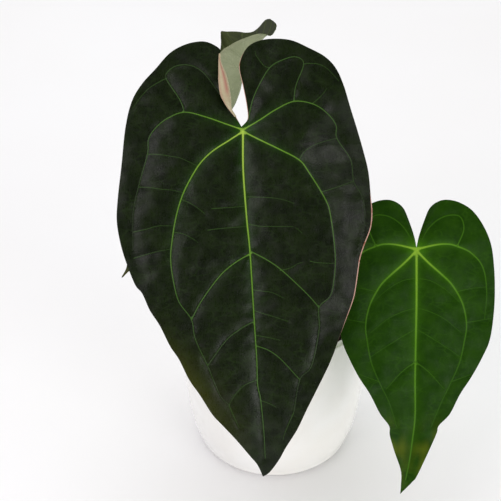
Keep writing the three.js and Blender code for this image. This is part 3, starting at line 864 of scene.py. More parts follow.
@dataclass(frozen=True)
class Chips:
    """Bark or crumbs: tones that differ from chip to chip, with a grain along each."""

    name: str
    dark: Colour
    mid: Colour
    light: Colour
    grain: float

    def material(self) -> Material:
        """Builds the finish.

        Returns:
            The material.
        """
        board = ShaderBoard(self.name)
        place = board.object_place()
        local = board.attribute("local", "Vector")
        lines = board.cloudy(board.stretched(local, (2.0, 14.0, 14.0)), 1.6, 5.0, 0.65)
        splits = board.cell_edges(board.stretched(local, (1.2, 5.0, 5.0)), 1.5)
        crumbs = board.cloudy(place, 520.0, 5.0, 0.7)
        tone = board.attribute("tone") + (crumbs - 0.5) * 0.7
        stops = [(0.0, self.dark), (0.5, self.mid), (1.0, self.light)]
        body = board.node("ShaderNodeValToRGB", {"stops": stops}, {0: tone})
        body = board.blend(lines.faded(0.5, 0.3) * self.grain, body, self.dark)
        body = board.blend(splits.faded(0.07, 0.0) * (0.8 * self.grain), body, self.dark)
        height = lines * (1.8 * self.grain) + crumbs * 0.9 - splits.faded(0.1, 0.0) * (1.2 * self.grain)
        return board.finished(Base_Color=body, Roughness=0.78 + crumbs * 0.2, Normal=board.relief(height))


@dataclass(frozen=True)
class Cork:
    """The rootstock's and the roots' rough skin: olive and tan, with pale cracks."""

    name: str
    dark: Colour
    light: Colour
    crack: Colour

    def material(self) -> Material:
        """Builds the finish.

        Returns:
            The material.
        """
        board = ShaderBoard(self.name)
        place = board.object_place()
        patches = board.cloudy(place, 160.0, 5.0, 0.65)
        body = board.blend(patches.faded(0.35, 0.65), self.dark, self.light)
        gaps = board.cell_edges(board.warped(board.stretched(place, (1.0, 1.0, 2.6)), 300.0, 0.003), 190.0)
        body = board.blend(gaps.faded(0.1, 0.02) * 0.6, body, self.crack)
        height = patches * 0.6 - gaps.faded(0.14, 0.0) * 0.4 + board.cloudy(place, 900.0) * 0.2
        return board.finished(Base_Color=body, Roughness=0.72 + patches * 0.2, Normal=board.relief(height))


@dataclass(frozen=True)
class Papery:
    """A dry sheath: brown papery skin over straw-coloured fibres."""

    name: str
    brown: Colour = srgb(120, 82, 50)
    dark: Colour = srgb(70, 42, 26)
    straw: Colour = srgb(178, 142, 98)

    def material(self) -> Material:
        """Builds the finish.

        Returns:
            The material.
        """
        board = ShaderBoard(self.name)
        flat = board.node("ShaderNodeUVMap", {"uv_map": "flat"})
        fibres = board.cloudy(board.stretched(flat, (46.0, 2.4, 1.0)), 1.0, 4.0, 0.6)
        patches = board.cloudy(flat, 5.0, 4.0)
        body = board.blend(patches.faded(0.35, 0.65), self.dark, self.brown)
        body = board.blend(fibres.faded(0.5, 0.66) * 0.85, body, self.straw)
        return board.finished(
            Base_Color=body, Roughness=0.8, Normal=board.relief(fibres * 0.9 + patches * 0.4)
        )


# Blades drawn flat


@dataclass(frozen=True)
class Vein:
    """A vein: its route on the flat blade, and its width and brightness from its start to its end."""

    route: tuple[Flat, ...]
    width: Flat = (0.5, 0.42)
    glow: Flat = (0.18, 0.13)
    fade: float = 1.0


FAR = 1e3
WELD = 1e-3
FLATTEST = 1e-7
FLAT_UNIT = 100
VEINLESS = 9.0
VALUES = ("rib", "glow", "thread", "thread_glow", "halo", "margin", "aged", "blush")


def smooth_step(value: Array, low: float, high: float) -> Array:
    """A smooth rise from 0 to 1 between two values."""
    share = np.clip((value - low) / (high - low), 0, 1)
    return share * share * (3 - 2 * share)


@dataclass(frozen=True)
class Bend:
    """A blade's trough and its hanging tip and lobes: slopes in mm per mm, curves in mm per square mm."""

    slope: float
    droop: Flat
    tip_below: float = 0.0
    tip_curve: float = 0.0
    lobe_above: float = 0.0
    lobe_curve: float = 0.0

    def at(self, across: Array, y: Array) -> Array:
        """The rise at places across the midrib and up from the seat.

        Args:
            across: how far to the right of the midrib.
            y: how far up from the seat.

        Returns:
            The rise.
        """
        side = np.abs(across)
        trough = self.slope * side - np.where(across < 0, *self.droop) * side**2
        tip = self.tip_curve * np.maximum(0, self.tip_below - y) ** 2
        return trough - tip - self.lobe_curve * np.maximum(0, y - self.lobe_above) ** 2


@dataclass(frozen=True)
class Yellowing:
    """A stretch of margin that has yellowed: its middle, its spread, and how deep it reaches."""

    middle: float
    spread: float
    depth: float
    power: float = 1.0

    def at(self, y: Array, margin: Array) -> Array:
        """Its strength, 0 to 1, at heights and distances from the margin."""
        away = ((y - self.middle) / self.spread) ** 2
        return np.exp(-away - (margin / self.depth) ** self.power)


class Leaf:
    """A blade of the plant: its piece, the solid that it stands for, its slot, and how it is built."""

    piece: str
    node: str
    slot: Slot

    def skin(self) -> Skin:
        """The open upper face, with what its finish reads."""
        raise NotImplementedError

    def build(self, finishes: list[Material]) -> None:
        """Builds the piece and puts it in the frame.

        Args:
            finishes: those of its face, its underside and its rim.
        """
        hand_over(mesh_piece(self.piece, self.skin().closed(), finishes), self.slot, self.node)


@dataclass
class FlatBlade:
    """A blade drawn flat and face on, then bent: each point slides along its line of sight.

    The source draws it in the same way, so both have the same outline.
    """

    seat: Array
    margins: list[list[Flat]]
    ribs: list[Vein]
    threads: list[Vein]
    bend: Callable[[Array, Array], Array]
    across: Array = field(default_factory=lambda: ACROSS)
    upward: Array = field(default_factory=lambda: UPRIGHT)
    quilting: float = 1.0
    thickness: float = 0.5
    step: float = 1.3
    aged: Callable[[Array, Array, Array], Array] | None = None
    blush: Callable[[Array, Array, Array], Array] | None = None
    quilt_height: float = 1.4
    quilt_reach: float = 5.0
    groove_depth: float = 0.5
    groove_reach: float = 2.2
    groove_starts: float = 3.0
    swell_height: float = 0.55
    swell_size: Flat = (10, 8)
    halo_reach: float = 2.2
    halo_from_glow: float = 0.3
    halo_share: float = 1.1
    seat_halo_reach: float = 7
    seat_halo_share: float = 0.8
    seat_reach: float = 3.5
    seat_widening: float = 0.6
    ridge_height: float = 0.7
    ridge_reach: float = 1.3
    ridge_starts: float = 4.0
    edge_share: float = 0.5
    edge_reach: float = 6.0
    grid_seed: int = 7
    grid_jitter: float = 0.25
    grid_room: float = 0.6
    vein_step: float = 2.5

    def quilt(self, from_vein: Array) -> Array:
        """How far the skin stands up between the veins, from its distance to the nearest one."""
        return self.quilt_height * (1 - np.exp(-from_vein / self.quilt_reach))

    def placed(self, flat: Array, rise: Array) -> Array:
        """Puts flat points in their places.

        Args:
            flat: the flat points.
            rise: how far each is raised towards the eye.

        Returns:
            The points in space.
        """
        spots = self.seat + flat[:, :1] * self.across + flat[:, 1:] * self.upward
        sight = EYE - spots
        return spots + sight / np.linalg.norm(sight, axis=1, keepdims=True) * rise[:, None]

    def outline(self) -> Array:
        """The closed outline, in even steps."""
        return np.vstack([smooth_line(margin, self.step)[:-1] for margin in self.margins])

    def grid(self, outline: Array, lines: list[Array]) -> Array:
        """Points between the lines, in a slightly uneven grid of triangles.

        Args:
            outline: the outline.
            lines: the veins.

        Returns:
            The flat points.
        """
        low, high = outline.min(0), outline.max(0)
        x, y = np.meshgrid(
            np.arange(low[0], high[0], self.step), np.arange(low[1], high[1], self.step * math.sqrt(0.75))
        )
        x[::2] += 0.5 * self.step
        spots = np.column_stack([x.ravel(), y.ravel()])
        draws = np.random.default_rng(self.grid_seed).random(spots.shape)
        spots += (draws - 0.5) * self.grid_jitter * self.step
        spots = spots[is_inside(outline, spots)]
        for line in [np.vstack([outline, outline[:1]]), *lines]:
            spots = spots[nearest_on(line, spots)[0] > self.grid_room * self.step]
        return spots

    def triangulated(self) -> tuple[Array, Array]:
        """The flat points and triangles, with every vein along edges.

        Returns:
            The points, and the triangles' corners, anticlockwise.
        """
        outline = self.outline()
        lines = [smooth_line(vein.route, self.step) for vein in [*self.ribs, *self.threads]]
        parts, edges, start = [outline], [], len(outline)
        for line in lines:
            edges += [(start + i, start + i + 1) for i in range(len(line) - 1)]
            parts.append(line)
            start += len(line)
        parts.append(self.grid(outline, lines))
        spots = [Vector(spot) for spot in np.vstack(parts)]
        found = delaunay_2d_cdt(spots, edges, [list(range(len(outline)))], 0, WELD, False)
        points = np.array([tuple(spot) for spot in found[0]])
        triangles = np.array([list(face) for face in found[2]])
        triangles = triangles[is_inside(outline, points[triangles].mean(1))]
        a, b, c = (points[triangles[:, corner]] for corner in range(3))
        turn = (b - a)[:, 0] * (c - a)[:, 1] - (b - a)[:, 1] * (c - a)[:, 0]
        triangles[turn < 0] = triangles[turn < 0][:, [0, 2, 1]]
        return points, triangles[np.abs(turn) > FLATTEST]

    def along_veins(self, veins: list[Vein], points: Array) -> tuple[Array, Array, Array]:
        """What the nearest vein gives each point.

        Args:
            veins: the veins.
            points: the flat points.

        Returns:
            The distances, the same in half widths, and the veins' brightness there.
        """
        gap = np.full(len(points), FAR)
        ratio, glow = gap.copy(), np.zeros(len(points))
        for vein in veins:
            away, at = nearest_on(smooth_line(vein.route, self.vein_step), points)
            half = 0.5 * (vein.width[0] + (vein.width[1] - vein.width[0]) * at)
            light = vein.glow[1] + (vein.glow[0] - vein.glow[1]) * (1 - at) ** vein.fade
            nearer = away / half < ratio
            ratio[nearer], glow[nearer] = (away / half)[nearer], light[nearer]
            gap = np.minimum(gap, away)
        return gap, ratio, glow

    def skin(self) -> Skin:
        """The bent upper face, with what its finish reads.

        Returns:
            The open skin.
        """
        points, triangles = self.triangulated()
        x, y = points[:, 0], points[:, 1]
        from_rib, rib, glow = self.along_veins(self.ribs, points)
        from_thread, thread, thread_glow = self.along_veins(self.threads, points)
        closed = self.outline()
        margin = nearest_on(np.vstack([closed, closed[:1]])[::2], points)[0]
        groove = self.groove_depth * np.exp(-from_thread / self.groove_reach)
        groove = groove * smooth_step(from_rib, 0.0, self.groove_starts)
        swell = np.array([noise.noise(Vector((*(spot / self.swell_size), 2.0))) for spot in points])
        rise = self.bend(x, y) + self.quilting * (self.quilt(from_rib) - groove + self.swell_height * swell)
        from_seat = np.hypot(x, y)
        lit = np.clip(glow - self.halo_from_glow, 0, 1)
        halo = np.exp(-from_rib / self.halo_reach) * lit * self.halo_share
        halo = np.maximum(halo, self.seat_halo_share * np.exp(-((from_seat / self.seat_halo_reach) ** 2)))
        rib = rib * (1 - self.seat_widening * np.exp(-((from_seat / self.seat_reach) ** 2)))
        none = np.zeros(len(points))
        values = {
            "rib": rib,
            "glow": glow,
            "thread": thread,
            "thread_glow": thread_glow,
            "halo": halo,
            "margin": margin,
            "aged": self.aged(x, y, margin) if self.aged else none,
            "blush": self.blush(x, y, margin) if self.blush else none,
        }
        ridge = self.ridge_height * np.exp(-((from_rib / self.ridge_reach) ** 2))
        ridge = ridge * smooth_step(margin, 0.0, self.ridge_starts)
        inward = self.edge_share + (1 - self.edge_share) * smooth_step(margin, 0.0, self.edge_reach)
        thickness = self.thickness * inward + ridge
        return Skin(self.placed(points, rise), triangles, points / FLAT_UNIT, values, thickness)


# The largest blade: margins and veins in millimetres from the point where its stalk is joined

LARGE_LEFT_MARGIN = [
    (-1, 1.5), (-4.5, 8), (-7.5, 13), (-8, 17.5), (-8.5, 23), (-10, 31), (-11.5, 36.5), (-14.5, 43.5),
    (-15, 48), (-15, 52), (-21.5, 56), (-28, 57), (-37.5, 55), (-47.5, 49.5), (-57, 39), (-66, 29),
    (-72.5, 17.5), (-76.5, 0.5), (-79, -23.5), (-81.5, -46), (-82, -60.5), (-79.5, -75), (-75.5, -88),
    (-70, -101.5), (-65.5, -107), (-60.5, -118), (-54, -128), (-47.5, -141), (-41.5, -150), (-35, -163),
    (-28, -173), (-20, -185.5), (-13.5, -192.5), (-4.5, -202), (4.5, -212.5), (9.5, -218.5), (13, -226),
]
LARGE_RIGHT_MARGIN = [
    (13, -226), (17.5, -223), (23.5, -215), (28, -207), (35.5, -195), (41, -183.5), (47, -171.5),
    (53, -159.5), (58, -148.5), (63, -134.5), (67.5, -122.5), (72, -110), (74, -99), (76, -85),
    (78.5, -76.5), (83, -64.5), (84, -54), (83, -43.5), (81.5, -28), (78, -13.5), (74, 0.5), (70, 13.5),
    (65.5, 28.5), (60.5, 39.5), (53.5, 47), (43.5, 52.5), (30.5, 58), (15.5, 58.5), (5, 55), (-0.5, 48),
    (-2.5, 40), (0, 28), (2.5, 15), (3, 6.5), (-1, 1.5),
]
LARGE_RIBS = [
    Vein(((0, -1.5), (0, -20), (0.5, -33), (2.5, -59), (4.5, -79), (6.5, -111), (8, -135), (9, -150),
          (9.5, -166), (11.5, -176), (13.5, -196), (14.5, -214)), (1.05, 0.4), (0.97, 0.2), 1.05),
    Vein(((0, -0.5), (-11.5, 3.5), (-24.5, 8), (-38, 11), (-49, 7), (-57, 0.5), (-61.5, -7), (-62, -16),
          (-68, -38), (-71.5, -56), (-71.5, -79)), (0.7, 0.45), (0.76, 0.0), 1.7),
    Vein(((-38, 11), (-41, 19), (-49.5, 32), (-49.5, 36.5), (-43.5, 41), (-34.5, 41.5), (-26, 37),
          (-18.5, 27.5), (-11, 17), (-4, 6)), (0.55, 0.5), (0.24, 0.05)),
    Vein(((0, -1.5), (-8.5, -7), (-20, -14.5), (-28, -22.5), (-34.5, -33), (-39.5, -43.5), (-43.5, -57),
          (-46, -72), (-47, -85), (-45, -100), (-41.5, -112.5), (-33.5, -124), (-31, -136.5), (-23, -154),
          (-15, -173), (-9, -179.5)), (0.8, 0.45), (0.9, 0.06), 1.3),
    Vein(((4.5, -81), (-6, -87.5), (-15, -95.5), (-26.5, -111), (-33.5, -124)), (0.62, 0.5), (0.48, 0.3)),
    Vein(((7, -125), (-2.5, -130.5), (-11.5, -138), (-23, -154)), (0.6, 0.5), (0.2, 0.12)),
    Vein(((0, -0.5), (11, 6), (21, 12.5), (33, 18), (45, 16.5), (54, 11), (60.5, 2.5), (61, -6), (70, -20),
          (72, -34), (77.5, -44), (79, -59), (75, -82)), (0.72, 0.4), (0.72, 0.0), 1.7),
    Vein(((33, 18), (34.5, 28.5), (39.5, 42.5), (34, 47), (24.5, 44.5), (17.5, 40), (11.5, 30.5),
          (6.5, 19.5), (3.5, 7)), (0.55, 0.55), (0.2, 0.3)),
    Vein(((0, -1.5), (11, -7), (24.5, -13.5), (36.5, -20), (42.5, -27.5), (53.5, -45.5), (57, -56.5),
          (60, -82), (59, -99.5), (56.5, -109), (49.5, -116), (49.5, -130.5), (44.5, -154), (37, -163),
          (33, -184)), (0.8, 0.45), (0.78, 0.07), 1.8),
    Vein(((5, -79.5), (15.5, -85), (25.5, -92), (41.5, -107), (49.5, -116)), (0.65, 0.5), (0.38, 0.3)),
    Vein(((9, -141), (17, -144), (25, -150), (37, -163)), (0.6, 0.5), (0.3, 0.22)),
]
LARGE_THREAD_ROUTES = [
    ((-49.7, 33), (-53.5, 31.2), (-60.5, 27), (-63.7, 24), (-67, 20.2), (-71.5, 13.7)),
    ((-62.2, -16.3), (-54, -16.6), (-47.5, -17.6), (-41, -18.7), (-36.2, -20.8), (-29.5, -24)),
    ((-67.9, -37.7), (-60.5, -38), (-54, -39), (-46.2, -39.7), (-38.5, -41.3)),
    ((-71.5, -67), (-62.4, -65), (-55.3, -63), (-44.5, -63)),
    ((-71, -84), (-57.2, -80), (-46.8, -78)),
    ((-45.2, -67), (-38.4, -68.3), (-31.2, -72.2), (-29.3, -73.8)),
    ((-40.5, -45.5), (-34.5, -48.1), (-29.3, -51.4), (-24.7, -55.3)),
    ((-22.8, -65.7), (-15, -64.7), (2.8, -63.2)),
    ((-20.2, -51.7), (-5.2, -50.7), (1.7, -50)),
    ((8.8, -163.2), (1.3, -166.4), (-4.8, -172.3), (-9.2, -179.4)),
    ((-9.2, -179.4), (-5.2, -188.5), (-2.6, -194)),
    ((39.3, 42.3), (43.6, 42.7), (46.8, 42.6), (50.1, 41.9), (53.3, 40.3), (56.6, 37.7), (62.4, 31.2)),
    ((17.5, 40), (14.3, 40.7), (11.1, 44.2), (8.5, 48.1), (7.8, 50.7)),
    ((36.5, -20), (39.7, -15), (42.9, -12.4), (46.8, -10.1), (51.4, -8.5), (55.9, -7.2), (61, -6)),
    ((51, -41), (57.2, -39), (63.1, -37.1), (72, -33.8)),
    ((1.2, -44), (14.3, -44.4), (20.8, -44.9), (27.3, -46.2), (33.2, -48.4)),
    ((2.8, -61.6), (11.1, -63.2), (20.8, -63.3), (32.5, -63.5), (35.1, -64.7), (38.4, -67.6)),
    ((43.6, -85.8), (48.1, -86.8), (59.8, -87.4)),
    ((24, -92), (30.6, -90.4), (35.1, -87.8), (39, -86.5)),
    ((6.4, -104.5), (12.4, -105.3), (18.9, -106.3), (26.7, -109.9)),
    ((7.2, -118), (14.3, -120.3), (20.8, -122.2), (29.3, -125.1)),
    ((8, -134), (16.3, -135.5), (24.1, -137.2)),
    ((11.5, -176.5), (16, -178), (21.5, -180.7)),
    ((45, 16.5), (48.1, 19), (51.4, 22.2), (54.6, 26.4)),
    ((33, -184.3), (27.7, -196.3), (26, -202.2)),
]

# The left lobe's inner margin is curled over: for each height, its fold and its free edge
LARGE_CURL = [
    (8, -4.5, -5.5), (13, -7.5, -9.5), (17.5, -8, -12.5), (23, -8.5, -15), (31, -10, -16), (36.5, -11.5, -16),
    (43.5, -14.5, -16), (49, -15, -15.7),
]


@dataclass(frozen=True)
class Upturn:
    """The largest blade's right side, which turns up beyond a slanted line."""

    start: float = 48
    nearer: float = 15
    drawn_in: Flat = (-55, -15)
    slant: float = 0.6
    slanted_above: float = -10
    slope: float = 0.6
    ease: float = 12
    fades_up: Flat = (-40, 0)
    fades_down: Flat = (-160, -110)

    def at(self, x: Array, y: Array) -> Array:
        """How far flat places are turned up.

        Args:
            x: flat places, across.
            y: the same, upward.

        Returns:
            The rise.
        """
        start = self.start - self.nearer * smooth_step(y, *self.drawn_in)
        beyond = np.maximum(0, x - start - self.slant * np.maximum(0, y - self.slanted_above))
        lifted = self.slope * (beyond - self.ease * (1 - np.exp(-beyond / self.ease)))
        return lifted * smooth_step(-y, *self.fades_up) * smooth_step(y, *self.fades_down)


@dataclass(frozen=True)
class Flush:
    """Where the largest blade's margin is flushed pink: down its right side and beside the notch."""

    right_of: float = 14
    starts: Flat = (38, 54)
    fades: Flat = (100, 140)
    faded: float = 0.93
    notch_middle: float = 2
    notch_reach: float = 16
    notch_starts: Flat = (2, 8)
    notch_ends: Flat = (-56, -40)
    notch_share: float = 0.5
    elsewhere: float = 0.06

    def at(self, x: Array, y: Array, margin: Array) -> Array:
        """How strong it is at flat places.

        Args:
            x: flat places, across.
            y: the same, upward.
            margin: their distances from the margin.

        Returns:
            The strength, 0 to 1.
        """
        down_right = smooth_step(-y, *self.starts) * (1 - self.faded * smooth_step(-y, *self.fades))
        notch = smooth_step(y, *self.notch_starts) * smooth_step(-y, *self.notch_ends) * self.notch_share
        beside = np.abs(x - self.notch_middle) < self.notch_reach
        return np.clip((x > self.right_of) * down_right + beside * notch + self.elsewhere, 0, 1)


@dataclass(frozen=True)
class LargeBlade(Leaf):
    """The dark blade in front, with the curled margin beside its notch."""

    piece: str = "large_blade"
    node: str = "blade_1"
    slot: Slot = Slot.DARK_LEAF
    seat: Spot = (-23.3, -17.6, 280.0)
    trough: Bend = Bend(0.1, (0.0009, 0.0017), -120, 0.0016, 10, 0.002)
    upturn: Upturn = Upturn()
    flush: Flush = Flush()
    lean: float = 0.06
    ripples: Flat = (1.3, 0.3)
    ripple_length: float = 11
    rippled: Flat = (40, 80)
    yellowing: Yellowing = Yellowing(-168, 30, 9, 1.3)
    yellow_share: float = 0.3
    yellowed_left_of: float = 5
    curl_foot: tuple[Flat, Flat] = ((-3, -0.2), (-0.8, 0.2))
    curl_crest: tuple[Flat, Flat] = ((0, 2), (-1.6, 3.8))
    curl_edge_lift: float = 4.2
    curl_along: int = 60
    curl_across: int = 20
    curl_full_width: float = 4.0
    curl_inward: float = 6.0
    curl_thickness: float = 0.4
    streak_middle: float = 1.5
    streak_width: float = 0.45
    streak_starts: Flat = (18, 27)
    streak_ends: Flat = (-50, -44)
    streak_ground: float = 0.08

    def bend(self, x: Array, y: Array) -> Array:
        """A shallow trough at the midrib, with drooping sides, lobes and tip.

        Args:
            x: flat places, across.
            y: the same, upward.

        Returns:
            The rise.
        """
        across = x + self.lean * np.minimum(0, y)
        ripple = np.where(x < 0, *self.ripples) * np.sin(y / self.ripple_length)
        ripple = ripple * smooth_step(np.abs(across), *self.rippled)
        return self.trough.at(across, y) + ripple + self.upturn.at(x, y)

    def aged(self, x: Array, y: Array, margin: Array) -> Array:
        """Where it has yellowed: along its lower left margin."""
        return self.yellow_share * self.yellowing.at(y, margin) * (x < self.yellowed_left_of)

    def blade(self) -> FlatBlade:
        """The blade without its curl.

        Returns:
            The flat blade.
        """
        return FlatBlade(
            seat=np.array(self.seat),
            margins=[LARGE_LEFT_MARGIN, LARGE_RIGHT_MARGIN],
            ribs=LARGE_RIBS,
            threads=[Vein(route) for route in LARGE_THREAD_ROUTES],
            bend=self.bend,
            aged=self.aged,
            blush=self.flush.at,
        )

    def curl(self) -> Sheet:
        """The curled margin as a sheet of its own, over a foot and a crest beside its fold.

        Returns:
            The closed sheet.
        """
        blade = self.blade()
        rows = []
        for y, fold, edge in LARGE_CURL:
            size = min(1.0, (fold - edge) / self.curl_full_width)
            profile = [(fold + x, lift) for x, lift in self.curl_foot]
            profile += [(fold + x * size, lift * size) for x, lift in self.curl_crest]
            profile.append((edge, self.curl_edge_lift * size))
            rows.append([(x, y, lift) for x, lift in profile])
        net = net_surface(np.array(rows), self.curl_along, self.curl_across)
        flat = net[..., :2].reshape(-1, 2)
        lift = net[..., 2].ravel()
        count = len(flat)
        rise = self.bend(flat[:, 0], flat[:, 1]) + blade.quilt(np.full(count, blade.quilt_reach)) + lift
        from_edge = np.tile(np.linspace(self.curl_inward, 0.0, self.curl_across + 1), self.curl_along + 1)
        values = {name: np.zeros(count) for name in VALUES}
        values |= {"rib": np.full(count, VEINLESS), "thread": np.full(count, VEINLESS), "margin": from_edge}
        streak = np.exp(-(((from_edge - self.streak_middle) / self.streak_width) ** 2))
        streak = streak * smooth_step(flat[:, 1], *self.streak_starts)
        streak = (1 - self.streak_ground) * streak * smooth_step(-flat[:, 1], *self.streak_ends)
        values["blush"] = self.streak_ground + streak
        triangles = net_triangles(self.curl_along + 1, self.curl_across + 1)
        placed = blade.placed(flat, rise)
        thickness = np.full(count, self.curl_thickness)
        return Skin(placed, triangles, flat / FLAT_UNIT, values, thickness).closed()

    def skin(self) -> Skin:
        """The open upper face without its curl."""
        return self.blade().skin()

    def build_curl(self, finishes: list[Material]) -> None:
        """Builds the curled margin and puts it in the frame.

        Args:
            finishes: those of its face, its underside and its rim.
        """
        hand_over(mesh_piece("curled_margin", self.curl(), finishes), self.slot)


def net_surface(rows: Array, along: int, across: int) -> Array:
    """A smooth surface through a net of control points.

    Args:
        rows: the control points, in rows.
        along: the steps from the first row to the last.
        across: the steps along each row.

    Returns:
        The surface's points, in rows.
    """
    lines, columns, axes = rows.shape
    wide = spline_at(rows.transpose(1, 0, 2).reshape(columns, -1), np.linspace(0, columns - 1, across + 1))
    wide = wide.reshape(across + 1, lines, axes).transpose(1, 0, 2).reshape(lines, -1)
    return spline_at(wide, np.linspace(0, lines - 1, along + 1)).reshape(along + 1, across + 1, axes)


# The second blade, lower at the right: its left half is drawn, and the right half mirrors it

SECOND_LEFT_MARGIN = [
    (0, 0.5), (-1.5, 8), (-5, 18.5), (-9, 27.5), (-15, 32), (-21.5, 33), (-29.5, 31), (-38, 25.5),
    (-45.5, 15), (-50.5, 2.5), (-52.5, -13), (-53, -29.5), (-52.5, -45.5), (-50.5, -62), (-45.5, -74.5),
    (-39, -87), (-31.5, -98.5), (-24.5, -112), (-18.5, -120), (-18, -126.5), (-15, -137), (-10.5, -150.5),
    (-10.5, -160.5), (-11, -166),
]
SECOND_TIP_RIGHT = [(-11, -166), (-9.5, -164.5), (-3, -158), (1, -152.5)]
SECOND_MIDRIB = (
    (0, -1), (0, -35), (-0.5, -62), (-1, -89), (-1, -113), (-3, -131), (-5, -144.5), (-7.5, -156.5),
)
SECOND_HALF_RIBS = [
    Vein(((0, -0.5), (-13, 2.5), (-21.5, 3), (-27.5, 1.5), (-37, -3), (-45, -13), (-47.5, -30),
          (-46.5, -48)), (1.15, 0.6), (0.95, 0.1), 1.5),
    Vein(((0, -1.5), (-8.5, -10), (-17, -17.5), (-24, -24.5), (-30, -34.5), (-33, -43),
          (-34.5, -52.5), (-33.5, -62), (-30.5, -77.5), (-24.5, -92), (-18.5, -104.5), (-13.5, -120.5)),
         (1.2, 0.6), (0.98, 0.1), 2.2),
    Vein(((-27.5, 1.5), (-32, 13), (-29.5, 21.5), (-22, 22.5), (-14.5, 19.5), (-8, 13.5), (-3, 5)),
         (0.8, 0.7), (0.3, 0.15)),
    Vein(((0, -76), (-10, -83.5), (-20.5, -95)), (0.7, 0.5), (0.24, 0.1)),
]
SECOND_HALF_THREADS = [
    Vein(((-0.5, -54.4), (-7.8, -58.5), (-20, -66), (-32, -74))),
    Vein(((-28, -29), (-37, -27), (-47, -26))),
    Vein(((-34, -50), (-41, -49), (-52, -47))),
    Vein(((0, -40), (-10, -43), (-20, -48), (-31, -57))),
    Vein(((-25.5, -90), (-31, -88), (-39, -85))),
    Vein(((0, -20), (-10, -22), (-20, -28), (-29, -36))),
]


@dataclass(frozen=True)
class SecondBlade(Leaf):
    """The bright blade at the right."""

    piece: str = "bright_blade"
    node: str = "blade_2"
    slot: Slot = Slot.BRIGHT_LEAF
    seat: Spot = (93.9, -37.4, 198.8)
    mirrored_points: int = 20
    trough: Bend = Bend(0.12, (0.003, 0.003), -90, 0.002, 5, 0.006)
    turn: float = 0.22
    fold_slope: float = 1.2
    fold_width: float = 4
    fold_curve: float = 0.012
    fold_starts: Flat = (2, 10)
    yellowing: Yellowing = Yellowing(-138, 16, 8)
    blotch_size: Flat = (6, 10)
    blotch_mean: float = 0.25
    blotch_swing: float = 0.8
    blotch_most: float = 0.4

    @staticmethod
    def midrib_at(y: Array) -> Array:
        """Where its midrib crosses a height."""
        x, heights = zip(*reversed(SECOND_MIDRIB))
        return np.interp(y, heights, x)

    def mirrored(self, line: tuple[Flat, ...] | list[Flat]) -> tuple[Flat, ...]:
        """A line of its left half, mirrored about the midrib."""
        return tuple((float(2 * self.midrib_at(y) - x), y) for x, y in line)

    def with_mirrored(self, veins: list[Vein]) -> list[Vein]:
        """Veins and their mirror images."""
        return veins + [Vein(self.mirrored(vein.route), vein.width, vein.glow, vein.fade) for vein in veins]

    def bend(self, x: Array, y: Array) -> Array:
        """A trough that turns away to the right, folds at its notch and hangs at its tip.

        Args:
            x: flat places, across.
            y: the same, upward.

        Returns:
            The rise.
        """
        across = x - self.midrib_at(y)
        within = np.maximum(0, self.fold_curve * y**2 + self.fold_width - np.abs(across))
        folded = self.fold_slope * within * smooth_step(y, *self.fold_starts)
        return self.trough.at(across, y) - folded - self.turn * x

    def aged(self, x: Array, y: Array, margin: Array) -> Array:
        """Where it has yellowed: in blotches near its tip.

        Args:
            x: flat places, across.
            y: the same, upward.
            margin: their distances from the margin.

        Returns:
            The strength, 0 to 1.
        """
        spots = np.column_stack([x, y]) / self.blotch_size
        blotches = np.array([noise.noise(Vector((*spot, 5.0))) for spot in spots])
        strength = self.yellowing.at(y, margin) * (self.blotch_mean + self.blotch_swing * blotches)
        return np.clip(strength, 0, self.blotch_most)

    def skin(self) -> Skin:
        """The open upper face, with what its finish reads.

        Returns:
            The open skin.
        """
        right = list(reversed(self.mirrored(SECOND_LEFT_MARGIN[: self.mirrored_points])))
        return FlatBlade(
            seat=np.array(self.seat),
            margins=[SECOND_LEFT_MARGIN, [*SECOND_TIP_RIGHT, *right]],
            ribs=[Vein(SECOND_MIDRIB, (1.4, 0.7), (0.9, 0.3)), *self.with_mirrored(SECOND_HALF_RIBS)],
            threads=self.with_mirrored(SECOND_HALF_THREADS),
            bend=self.bend,
            aged=self.aged,
        ).skin()


# The small hidden blade: half of a plain heart, its tip drawn out to a thin point

SMALL_HALF_MARGIN = [
    (0, 1), (-3, 9), (-9, 14), (-17, 14), (-24, 7), (-28, -6), (-28, -21), (-24.5, -37), (-18, -52),
    (-10.5, -65), (-4.5, -74), (-1.6, -79), (-0.5, -85),
]
SMALL_RIBS = [
    Vein(((0, -1), (0, -30), (0, -60), (0, -78)), (1.3, 0.6), (0.9, 0.3)),
    Vein(((-1, -1), (-10, -7), (-17, -18), (-17, -34), (-10, -56)), (1.0, 0.6), (0.7, 0.15)),
    Vein(((1, -1), (10, -7), (17, -18), (17, -34), (10, -56)), (1.0, 0.6), (0.7, 0.15)),
]
SMALL_THREADS = [
    Vein(((0, -30), (-8, -35), (-15, -42))),
    Vein(((0, -30), (8, -35), (15, -42))),
    Vein(((-17, -20), (-22, -20), (-27, -18))),
    Vein(((17, -20), (22, -20), (27, -18))),
]


